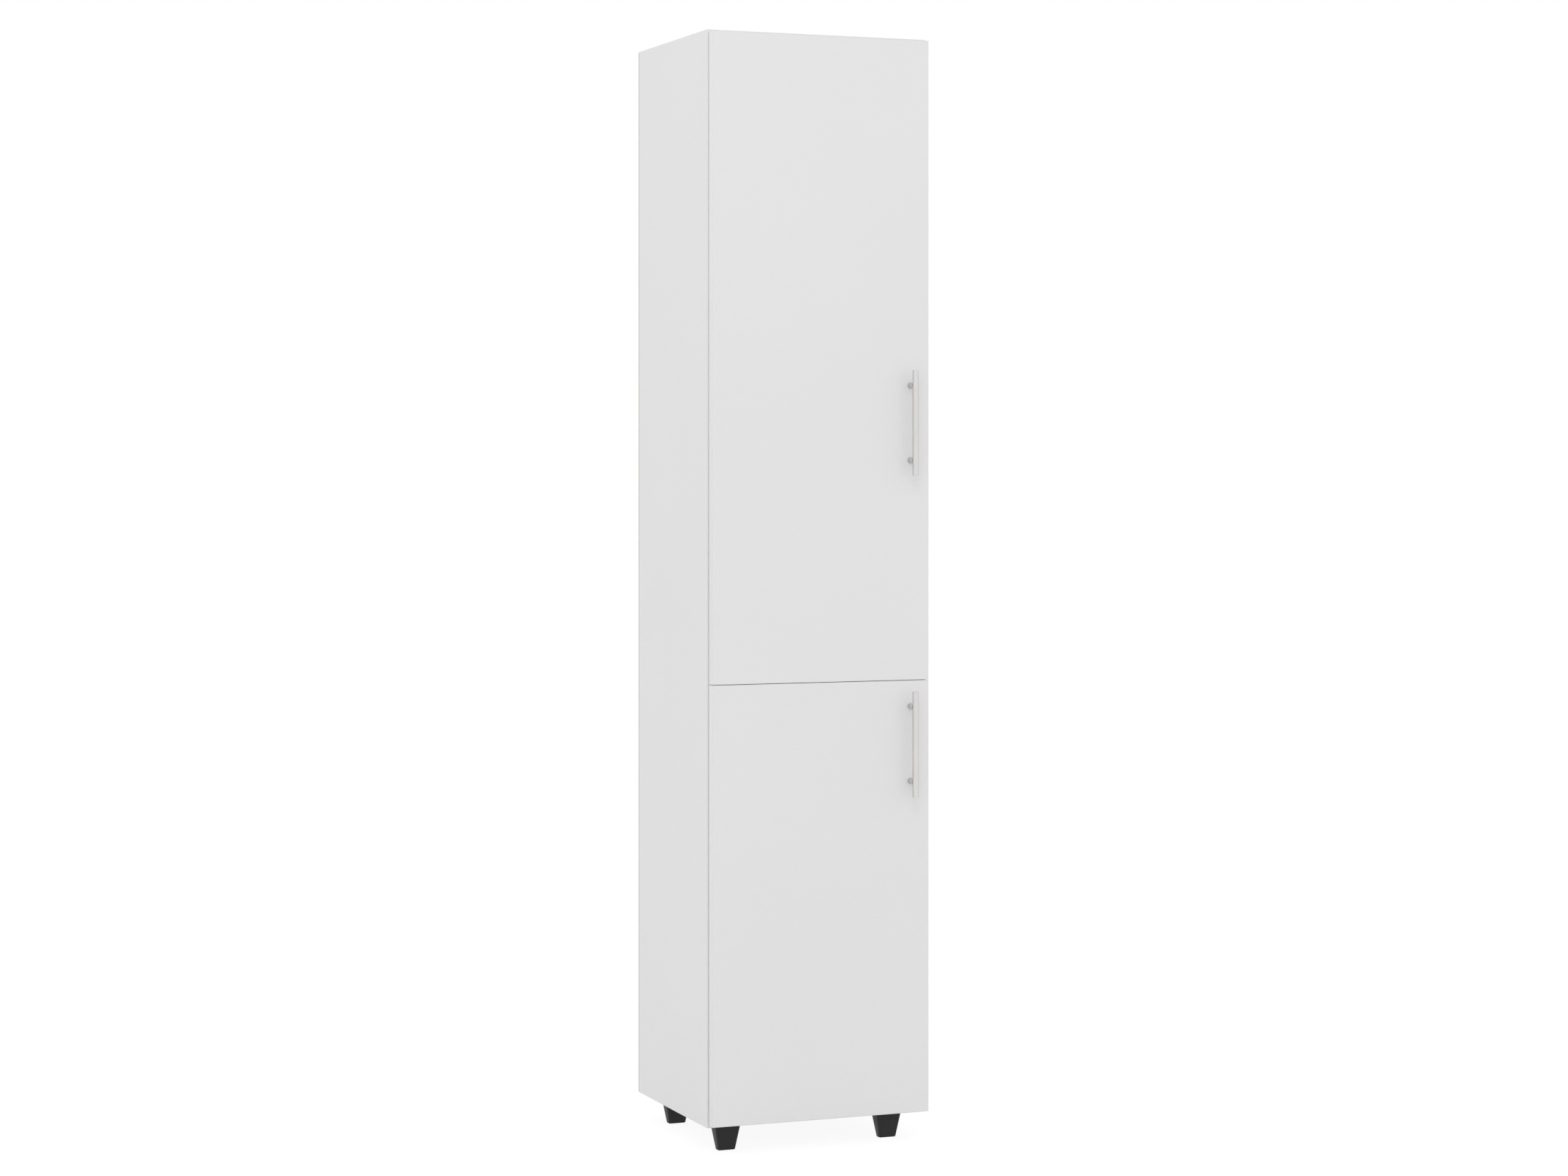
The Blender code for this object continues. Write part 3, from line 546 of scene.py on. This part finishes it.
# back panel
nailSettings = {
    "headRadius": 1.3 * mm,
    "head": 0.3 * mm,
    "headRound": 0.12 * mm,
    "dimple": 0.35 * mm,
    "dimpleRim": 0.15 * mm,
    "sides": 14,
    "sheetRound": 0.2 * mm,
    "inset": 7.5 * mm,  # from the panel's edge, into the middle of the boards
    "step": 118 * mm,
}


def spread(low, high, step):
    count = max(1, round((high - low) / step))
    return [low + (high - low) * k / count for k in range(count + 1)]


def addBackPanel(settings):
    low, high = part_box("back_panel")
    panel = addBox("back_panel_sheet", low, high)
    applyModifier(panel, "BEVEL", width=settings["sheetRound"], segments=1)
    inset = settings["inset"]
    places = []
    for z in spread(low.z + inset, high.z - inset, settings["step"]):
        places += [(low.x + inset, z), (high.x - inset, z)]
    shelf = middleOf("fixed_shelf").z
    for x in spread(low.x + inset, high.x - inset, settings["step"])[1:-1]:
        places += [(x, low.z + inset), (x, shelf), (x, high.z - inset)]
    turn = settings["sides"]
    template = addRod("nail", (0, 0, 0), (0, 0, settings["head"]), settings["headRadius"], sides=turn)
    soften(template, settings["headRound"], 1)
    dimple = settings["headRadius"] + settings["dimpleRim"]
    dimples = []
    nails = []
    for x, z in places:
        start = (x, high.y - settings["dimple"], z)
        dimples.append(addRod("dimple", start, (0, settings["dimple"] + mm, 0), dimple, sides=turn))
        nails.append(copyTo(template, "nail", start, (0, 1, 0)))
    bpy.data.objects.remove(template)
    cutWith(panel, joined("dimples", dimples))
    panel.data.materials.clear()
    panel.data.materials.append(materials["fibre"])
    panel.data.materials.append(materials["backFace"])
    editFaces(panel, lambda centre, normal: normal.y < -squarely and centre.y < low.y + near)
    panel.active_material_index = 1
    bpy.ops.object.material_slot_assign()
    leaveEdit()
    dress(panel, "cabinet", materials["fibre"], ["back_panel"])
    dress(joined("back_panel_nails", nails), "cabinet", materials["zinc"])


addBackPanel(nailSettings)
print("back panel made")

# handles
handleSettings = {
    "barSides": 72,
    "barEnd": 0.5 * mm,
    "faceInset": 1.1 * mm,
    "postSides": 56,
    "postSeat": 0.3 * mm,
    "postRound": 0.3 * mm,
    "saddle": 0.3 * mm,  # how far the post stands off the bar that it is welded to
    "headRadius": 4.2 * mm,
    "head": 1.8 * mm,
    "screwRadius": 1.9 * mm,
    "recess": 1.1 * mm,
}


screwShape = {  # as shares of the head's height or radius
    "dome": 0.55,
    "crossReach": 0.5,
    "crossHalf": 0.12,
}


def panHead(name, radius, height, shank, shankRadius, recess):
    # a pan-head screw along Z with a cross recess, its head from 0 up and its shank below
    head = addRod(name, (0, 0, 0), (0, 0, height), radius)
    editEdges(head, lambda a, b: min(a.z, b.z) > height - near)
    bpy.ops.mesh.bevel(offset=height * screwShape["dome"], segments=4, affect="EDGES")
    leaveEdit()
    editFaces(head, lambda centre, normal: normal.z < -squarely)
    bpy.ops.mesh.inset(thickness=radius - shankRadius, depth=0)
    bpy.ops.mesh.extrude_region_move(TRANSFORM_OT_translate={"value": (0, 0, -shank)})
    leaveEdit()
    arm, half = radius * screwShape["crossReach"], radius * screwShape["crossHalf"]
    cutWith(head, addBox("slot", (-arm, -half, height - recess), (arm, half, height + mm)))
    cutWith(head, addBox("slot", (-half, -arm, height - recess), (half, arm, height + mm)))
    return smoothed(head)


def addHandle(prefix, settings):
    body = prefix + "_leaf"
    node = prefix + "_handle_bar"
    low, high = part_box(node)
    middle = (low + high) / 2
    radius = (high.x - low.x) / 2
    bar = addRod(
        prefix + "_handle_rod",
        (middle.x, middle.y, low.z),
        (0, 0, high.z - low.z),
        radius,
        sides=settings["barSides"],
    )
    # ends are faced off on a lathe and lightly broken at the edge
    editFaces(bar, lambda centre, normal: abs(normal.z) > squarely)
    bpy.ops.mesh.inset(thickness=settings["faceInset"], depth=0, use_individual=True)
    leaveEdit()
    soften(bar, settings["barEnd"], 3)
    dress(bar, body, materials["steel"], [node])
    doorLow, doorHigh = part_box(prefix + "_door")
    screw = panHead(
        "screw",
        settings["headRadius"],
        settings["head"],
        doorHigh.y - doorLow.y - mm,
        settings["screwRadius"],
        settings["recess"],
    )
    for end in ("top", "bottom"):
        node = f"{prefix}_handle_post_{end}"
        postLow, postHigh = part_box(node)
        place = (postLow + postHigh) / 2
        seat = settings["postSeat"]
        postRadius = (postHigh.x - postLow.x) / 2
        post = addRod(
            node.replace("post", "standoff"),
            (place.x, doorLow.y - seat, place.z),
            (0, middle.y - doorLow.y + seat, 0),
            postRadius,
            sides=settings["postSides"],
        )
        editEdges(post, lambda a, b: min(a.y, b.y) > doorLow.y - seat - near)
        bpy.ops.mesh.bevel(offset=settings["postRound"], segments=2, affect="EDGES")
        leaveEdit()
        saddle = addRod(
            "saddle",
            (middle.x, middle.y, place.z - 2 * postRadius),
            (0, 0, 4 * postRadius),
            radius + settings["saddle"],
            sides=settings["barSides"],
        )
        cutWith(post, saddle)
        dress(smoothed(post), body, materials["turned"], [node])
        back = (place.x, doorHigh.y + seat, place.z)
        fixing = copyTo(screw, f"{prefix}_handle_screw_{end}", back, (0, 1, 0))
        dress(fixing, body, materials["zinc"])
    bpy.data.objects.remove(screw)


for prefix in ("upper", "lower"):
    addHandle(prefix, handleSettings)
print("handles made")

# feet
footSettings = {
    "width": 45.6 * mm,
    "depth": 30.1 * mm,
    "drawIn": 7.25 * mm,  # on each side, from the top down to the sole
    "corner": 4 * mm,
    "chamfer": 1.2 * mm,
    "edge": 0.2 * mm,
    "pad": 4.6 * mm,
    "padDepth": 0.6 * mm,
    "padFit": 0.2 * mm,
    "padSunk": 0.1 * mm,
    "padRound": 0.2 * mm,
}


def footTemplate(height, settings):
    # a block that draws in on all sides down to its sole, standing at the origin
    across, along = settings["width"], settings["depth"]
    foot = addBox("foot", (-across / 2, -along / 2, 0), (across / 2, along / 2, height))
    editFaces(foot, lambda centre, normal: normal.z < -squarely)
    narrower, shallower = (1 - 2 * settings["drawIn"] / side for side in (across, along))
    bpy.ops.transform.resize(value=(narrower, shallower, 1), center_override=(0, 0, 0))
    leaveEdit()
    editEdges(foot, lambda a, b: abs(a.z - b.z) > mm)
    bpy.ops.mesh.bevel(offset=settings["corner"], segments=6, affect="EDGES")
    leaveEdit()
    editEdges(foot, lambda a, b: max(a.z, b.z) < near)
    bpy.ops.mesh.bevel(offset=settings["chamfer"], segments=2, affect="EDGES")
    leaveEdit()
    socketRadius = settings["pad"] + settings["padFit"]
    cutWith(foot, addRod("socket", (0, 0, -mm), (0, 0, mm + settings["padDepth"]), socketRadius, sides=40))
    return soften(foot, settings["edge"], 2, 25)


def addFeet(settings):
    low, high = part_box("foot_front_left")
    template = footTemplate(high.z - low.z, settings)
    thick = settings["padDepth"] - settings["padSunk"]
    pad = addRod("pad", (0, 0, 0), (0, 0, thick), settings["pad"], sides=40)
    soften(pad, settings["padRound"], 2)
    for end in ("front", "back"):
        for side in ("left", "right"):
            node = f"foot_{end}_{side}"
            low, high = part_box(node)
            place = ((low.x + high.x) / 2, (low.y + high.y) / 2, low.z)
            shell = copyTo(template, node + "_shell", place)
            dress(shell, "cabinet", materials["foot"], [node])
            glide = copyTo(pad, node + "_glide", place)
            dress(glide, "cabinet", materials["glide"])
    bpy.data.objects.remove(template)
    bpy.data.objects.remove(pad)


addFeet(footSettings)
print("feet made")

# shelf pegs
pegSettings = {
    "radius": 2.5 * mm,
    "collarRadius": 4 * mm,
    "collar": 1.2 * mm,
    "seat": 0.3 * mm,
    "out": 7.5 * mm,
    "inWall": 8 * mm,
    "round": 0.3 * mm,
    "sides": 32,
}


def pegTemplate(settings):
    # turned along Z: its tail in the wall below 0, the collar, and the end the shelf rests on
    peg = addRod(
        "peg",
        (0, 0, -settings["inWall"]),
        (0, 0, settings["inWall"] + settings["seat"]),
        settings["radius"],
        sides=settings["sides"],
    )
    wider = settings["collarRadius"] / settings["radius"]
    collarTop = settings["seat"] + settings["collar"]
    editFaces(peg, lambda centre, normal: normal.z > squarely)
    bpy.ops.mesh.extrude_region_move(TRANSFORM_OT_translate={"value": (0, 0, 0)})
    bpy.ops.transform.resize(value=(wider, wider, 1), center_override=(0, 0, settings["seat"]))
    bpy.ops.mesh.extrude_region_move(TRANSFORM_OT_translate={"value": (0, 0, settings["collar"])})
    bpy.ops.mesh.extrude_region_move(TRANSFORM_OT_translate={"value": (0, 0, 0)})
    bpy.ops.transform.resize(value=(1 / wider, 1 / wider, 1), center_override=(0, 0, collarTop))
    bpy.ops.mesh.extrude_region_move(
        TRANSFORM_OT_translate={"value": (0, 0, settings["out"] - collarTop)}
    )
    leaveEdit()
    return soften(peg, settings["round"], 3)


def addPegs(settings):
    template = pegTemplate(settings)
    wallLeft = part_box("side_panel_left")[1].x
    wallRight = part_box("side_panel_right")[0].x
    for node in sorted(nodes):
        if "_peg_" in node:
            middle = middleOf(node)
            facing = 1 if middle.x < 0 else -1
            wall = wallLeft if facing > 0 else wallRight
            peg = copyTo(template, node + "_pin", (wall, middle.y, middle.z), (facing, 0, 0))
            dress(peg, "cabinet", materials["nickel"], [node])
    bpy.data.objects.remove(template)


addPegs(pegSettings)
print("shelf pegs made")


# hinges
def cupTemplate(settings, centre, sideFace):
    # the pressed cup with its screw flange, modelled in place at one hinge
    x, doorBack, z = centre
    turn = settings["sides"]
    bottom = doorBack - settings["depth"]
    rim = doorBack + settings["seat"] + settings["flange"] - settings["lip"]
    cup = addRod("cup", (x, bottom, z), (0, rim - bottom, 0), settings["radius"], sides=turn)
    editFaces(cup, lambda place, normal: normal.y > squarely)
    bpy.ops.mesh.inset(thickness=settings["wall"], depth=0)
    down = rim - bottom - settings["floor"]
    bpy.ops.mesh.extrude_region_move(TRANSFORM_OT_translate={"value": (0, -down, 0)})
    leaveEdit()
    inner = settings["radius"] - settings["wall"]

    def isBend(a, b):
        if abs(a.y - b.y) > near:
            return False
        reach = math.hypot(a.x - x, a.z - z)
        outside = a.y < bottom + near and reach > inner
        inside = abs(a.y - bottom - settings["floor"]) < near
        return outside or inside

    editEdges(cup, isBend)
    bpy.ops.mesh.bevel(offset=settings["round"], segments=4, affect="EDGES")
    leaveEdit()

    # the flange is drawn round the rim and the two screw wings
    under = doorBack + settings["seat"]
    screwX = x + settings["screwOffset"]
    screws = [(screwX, z - settings["screwSpacing"] / 2), (screwX, z + settings["screwSpacing"] / 2)]
    thick = (0, settings["flange"], 0)
    discs = [addRod("disc", (x, under, z), thick, settings["rimRadius"], sides=turn)]
    for wingX, wingZ in screws:
        discs.append(addRod("disc", (wingX, under, wingZ), thick, settings["wingRadius"], sides=32))
    flange = joined("flange", discs)
    bpy.ops.object.mode_set(mode="EDIT")
    bpy.ops.mesh.select_all(action="SELECT")
    bpy.ops.mesh.convex_hull()
    bpy.ops.mesh.dissolve_limited(angle_limit=math.radians(1))
    leaveEdit()
    bore = settings["radius"] - settings["wall"] / 2
    through = (0, settings["drill"], 0)
    cutWith(flange, addRod("bore", (x, under - mm, z), through, bore, sides=turn))
    for wingX, wingZ in screws:
        start = (wingX, under - mm, wingZ)
        cutWith(flange, addRod("hole", start, through, settings["screwHole"], sides=24))
    cutWith(cup, flange, "UNION")
    edge = sideFace + settings["start"]
    far = 2 * settings["radius"]
    cutWith(cup, addBox("relief", (edge - far, doorBack, z - far), (edge, doorBack + far, z + far)))
    return smoothed(cup)


hingeSettings = {
    "outerPin": (-5.704 * mm, -3.6 * mm),  # right of the side's face, behind the carcass front
    "innerPin": (-3.083 * mm, -6.351 * mm),
    "armPins": ((24 * mm, 22 * mm), (15.678 * mm, 0.9 * mm)),
    "pinRadius": 1 * mm,
    "pinRound": 0.1 * mm,
    "armHalf": 8.4 * mm,
    "rivetRadius": 1.8 * mm,
    "rivet": 0.45 * mm,
    "rivetSunk": 0.05 * mm,
    "rivetRound": 0.2 * mm,
    "armTop": 10.7 * mm,
    "clampScrew": 56 * mm,
    "heightScrew": 46.5 * mm,
    # head radius and height, shank length and radius, depth of the cross
    "woodScrew": (3.4 * mm, 1.3 * mm, 6 * mm, 1.6 * mm, 0.9 * mm),
    "machineScrew": (3.1 * mm, 1.6 * mm, 0.6 * mm, 2 * mm, 1.1 * mm),
    "plateScrewY": 37 * mm,
    "plateScrewZ": 16 * mm,
    "plateFace": 2.3 * mm,
    "edgeRound": 0.22 * mm,
}


def addPins(name, places, z, half, settings):
    pins = [
        addRod("pin", (x, y, z - half(x)), (0, 0, 2 * half(x)), settings["pinRadius"], sides=24)
        for x, y in places
    ]
    return soften(joined(name, pins), settings["pinRound"], 1)


def addHinges(settings, cup):
    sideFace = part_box("side_panel_left")[1].x
    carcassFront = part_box("side_panel_left")[0].y
    first = hinges["upper"][0]
    z = middleOf(first + "_cup").z
    doorLow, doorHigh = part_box("upper_door")
    centre = (doorLow.x + cup["fromEdge"], doorHigh.y, z)

    def place(pin):
        return (sideFace + pin[0], carcassFront + pin[1])

    templates = {"cup": cupTemplate(cup, centre, sideFace)}
    inner = cup["radius"] - cup["wall"] / 2

    def reach(x):
        return math.sqrt(inner ** 2 - (x - centre[0]) ** 2)

    templates["cup_pins"] = addPins(
        "cup_pins", [place(settings["outerPin"]), place(settings["innerPin"])], z, reach, settings
    )
    for part in ("arm", "outer_link", "inner_link", "mounting_plate"):
        templates[part] = soften(mergedCopy(f"{first}_{part}", part), settings["edgeRound"], 2)
    rivets = []
    for pin in settings["armPins"]:
        x, y = place(pin)
        for sign in (-1, 1):
            start = (x, y, z + sign * (settings["armHalf"] - settings["rivetSunk"]))
            head = (0, 0, sign * settings["rivet"])
            rivet = addRod("rivet", start, head, settings["rivetRadius"], sides=24)
            rivets.append(soften(rivet, settings["rivetRound"], 2))
    templates["arm_rivets"] = joined("arm_rivets", rivets)

    woodScrew = panHead("woodScrew", *settings["woodScrew"])
    machineScrew = panHead("machineScrew", *settings["machineScrew"])
    flangeTop = doorHigh.y + cup["seat"] + cup["flange"]
    screwX = centre[0] + cup["screwOffset"]
    templates["cup_screws"] = joined(
        "cup_screws",
        [
            copyTo(woodScrew, "s", (screwX, flangeTop, z + sign * cup["screwSpacing"] / 2), (0, 1, 0))
            for sign in (-1, 1)
        ],
    )
    plateFace = sideFace + settings["plateFace"]
    plateY = carcassFront + settings["plateScrewY"]
    templates["plate_screws"] = joined(
        "plate_screws",
        [
            copyTo(woodScrew, "s", (plateFace, plateY, z + sign * settings["plateScrewZ"]), (1, 0, 0))
            for sign in (-1, 1)
        ],
    )
    armTop = sideFace + settings["armTop"]
    templates["arm_screws"] = joined(
        "arm_screws",
        [
            copyTo(machineScrew, "s", (armTop, carcassFront + settings[key], z), (1, 0, 0))
            for key in ("clampScrew", "heightScrew")
        ],
    )
    bpy.data.objects.remove(woodScrew)
    bpy.data.objects.remove(machineScrew)

    finish = {
        "cup": ("leaf", "nickel", "_cup"),
        "cup_pins": ("leaf", "zinc", None),
        "cup_screws": ("leaf", "zinc", None),
        "arm": ("cabinet", "nickel", "_arm"),
        "arm_rivets": ("cabinet", "nickel", None),
        "arm_screws": ("cabinet", "zinc", None),
        "mounting_plate": ("cabinet", "zinc", "_mounting_plate"),
        "plate_screws": ("cabinet", "zinc", None),
        "outer_link": ("outer_links", "zinc", "_outer_link"),
        "inner_link": ("inner_links", "zinc", "_inner_link"),
    }
    for prefix, names in hinges.items():
        for hinge in names:
            rise = middleOf(hinge + "_cup").z - z
            for part, (body, metal, node) in finish.items():
                piece = copyTo(templates[part], f"{hinge}_{part}_piece", (0, 0, rise))
                carrier = body if body == "cabinet" else f"{prefix}_{body}"
                dress(piece, carrier, materials[metal], [hinge + node] if node else ())
    for template in templates.values():
        bpy.data.objects.remove(template)


addHinges(hingeSettings, cupSettings)
print("hinges made:", sum(len(names) for names in hinges.values()))

# small fittings
bumperSettings = {
    "radius": 4.2 * mm,
    "height": 1.45 * mm,
    "dome": 0.7,  # share of the height that is rounded over
    "fromEnd": 26 * mm,
    "x": 192 * mm,
}
capSettings = {
    "radius": 8.2 * mm,
    "height": 0.7 * mm,
    "rim": 1.1 * mm,
    "sunk": 0.12 * mm,
    "round": 0.2 * mm,
    "fromSide": 26 * mm,
    "fromEdge": 38 * mm,
}


def addBumpers(settings):
    template = addRod("bumper", (0, 0, 0), (0, 0, settings["height"]), settings["radius"], sides=40)
    editEdges(template, lambda a, b: min(a.z, b.z) > settings["height"] - near)
    bpy.ops.mesh.bevel(offset=settings["height"] * settings["dome"], segments=5, affect="EDGES")
    leaveEdit()
    smoothed(template, math.radians(60))
    for prefix in ("upper", "lower"):
        low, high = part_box(prefix + "_door")
        for end, z in (("top", high.z - settings["fromEnd"]), ("bottom", low.z + settings["fromEnd"])):
            place = (settings["x"], high.y, z)
            piece = copyTo(template, f"{prefix}_door_bumper_{end}", place, (0, 1, 0))
            dress(piece, prefix + "_leaf", materials["bumper"])
    bpy.data.objects.remove(template)


def addCaps(settings):
    # covers over the joint fittings, on the undersides of the three fixed boards
    template = addRod("cap", (0, 0, 0), (0, 0, settings["height"]), settings["radius"], sides=48)
    editFaces(template, lambda centre, normal: normal.z > squarely)
    bpy.ops.mesh.inset(thickness=settings["rim"], depth=-settings["sunk"])
    leaveEdit()
    soften(template, settings["round"], 2)
    for node in ("bottom_panel", "fixed_shelf", "top_panel"):
        low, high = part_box(node)
        caps = []
        for x in (low.x + settings["fromSide"], high.x - settings["fromSide"]):
            for y in (low.y + settings["fromEdge"], high.y - settings["fromEdge"]):
                caps.append(copyTo(template, "cap", (x, y, low.z), (0, 0, -1)))
        dress(joined(node + "_caps", caps), "cabinet", materials["cap"])
    bpy.data.objects.remove(template)


addBumpers(bumperSettings)
addCaps(capSettings)
print("small fittings made")

# floor, light and world
studioSettings = {
    "floorSize": 60,
    "floorDrop": 0.2 * mm,
    "floorColour": "#646464",  # what the shadow takes away from
    "floorGlow": 0.91,  # brings the open floor up to white
    "floorBounce": "#ececec",  # what the floor throws back onto the cabinet
    "dome": 0.91,  # light from straight above
    "domeLow": 0.85,  # light from just below the horizon
    "domeFrom": -0.2,  # height on the sky where the low value starts
    "lampAim": (0, 0, 1),
}
lampSettings = [
    # large soft box in front and above: it lights the doors, and the bars' shadow falls behind them
    {"name": "frontSoftBox", "power": 13.5, "place": (-0.95, -2.75, 3.6), "size": 1.4},
    # soft box beside the cabinet, for its left side
    {"name": "sideSoftBox", "power": 9.5, "place": (-2.6, 0.4, 3.7), "size": 2.4},
]


def seenDirectly(tree):
    # 1 for what the camera, a reflection or clear plastic sees, 0 for what lights the object
    path = addNode(tree, "LightPath")
    either = addNode(
        tree,
        "Math",
        {"operation": "MAXIMUM"},
        {0: path.outputs["Is Camera Ray"], 1: path.outputs["Is Glossy Ray"]},
    )
    return addNode(
        tree,
        "Math",
        {"operation": "MAXIMUM"},
        {0: either.outputs[0], 1: path.outputs["Is Transmission Ray"]},
    ).outputs[0]


def addFloor(settings):
    clearSelection()
    bpy.ops.mesh.primitive_plane_add(size=settings["floorSize"], location=(0, 0, -settings["floorDrop"]))
    floor = settle("studioFloor")
    material = bpy.data.materials.new("whiteStudioFloor")
    material.use_nodes = True
    tree = material.node_tree
    tree.nodes.clear()
    shown = addNode(tree, "BsdfDiffuse", {"Color": linearColour(settings["floorColour"])})
    glow = addNode(tree, "Emission", {"Color": white, "Strength": settings["floorGlow"]})
    both = addNode(tree, "AddShader", {}, {0: shown.outputs[0], 1: glow.outputs[0]})
    plain = addNode(tree, "BsdfDiffuse", {"Color": linearColour(settings["floorBounce"])})
    mix = addNode(
        tree,
        "MixShader",
        {},
        {0: seenDirectly(tree), 1: plain.outputs[0], 2: both.outputs[0]},
    )
    addNode(tree, "OutputMaterial", {}, {"Surface": mix.outputs[0]})
    floor.data.materials.append(material)


def addWorld(settings):
    world = bpy.data.worlds.new("softWhiteRoom")
    bpy.context.scene.world = world
    world.use_nodes = True
    tree = world.node_tree
    tree.nodes.clear()
    place = addNode(tree, "TexCoord").outputs["Generated"]
    split = addNode(tree, "SeparateXYZ", {}, {"Vector": place})
    span = {"From Min": settings["domeFrom"], "From Max": 1}
    strength = {"To Min": settings["domeLow"], "To Max": settings["dome"]}
    dome = addNode(tree, "MapRange", {**span, **strength}, {"Value": split.outputs["Z"]})
    light = addNode(tree, "Background", {"Color": white}, {"Strength": dome.outputs["Result"]})
    backdrop = addNode(tree, "Background", {"Color": white, "Strength": 1})
    mix = addNode(
        tree,
        "MixShader",
        {},
        {0: seenDirectly(tree), 1: light.outputs[0], 2: backdrop.outputs[0]},
    )
    addNode(tree, "OutputWorld", {}, {"Surface": mix.outputs[0]})


def addLamp(settings, target):
    place = Vector(settings["place"])
    aim = (Vector(target) - place).to_track_quat("-Z", "Y").to_euler()
    bpy.ops.object.light_add(type="AREA", location=place, rotation=aim)
    lamp = bpy.context.active_object
    lamp.name = settings["name"]
    lamp.data.energy = settings["power"]
    lamp.data.size = settings["size"]
    lamp.visible_camera = False


addFloor(studioSettings)
addWorld(studioSettings)
for settings in lampSettings:
    addLamp(settings, studioSettings["lampAim"])
bpy.context.scene.view_settings.view_transform = "Standard"
print("studio made")
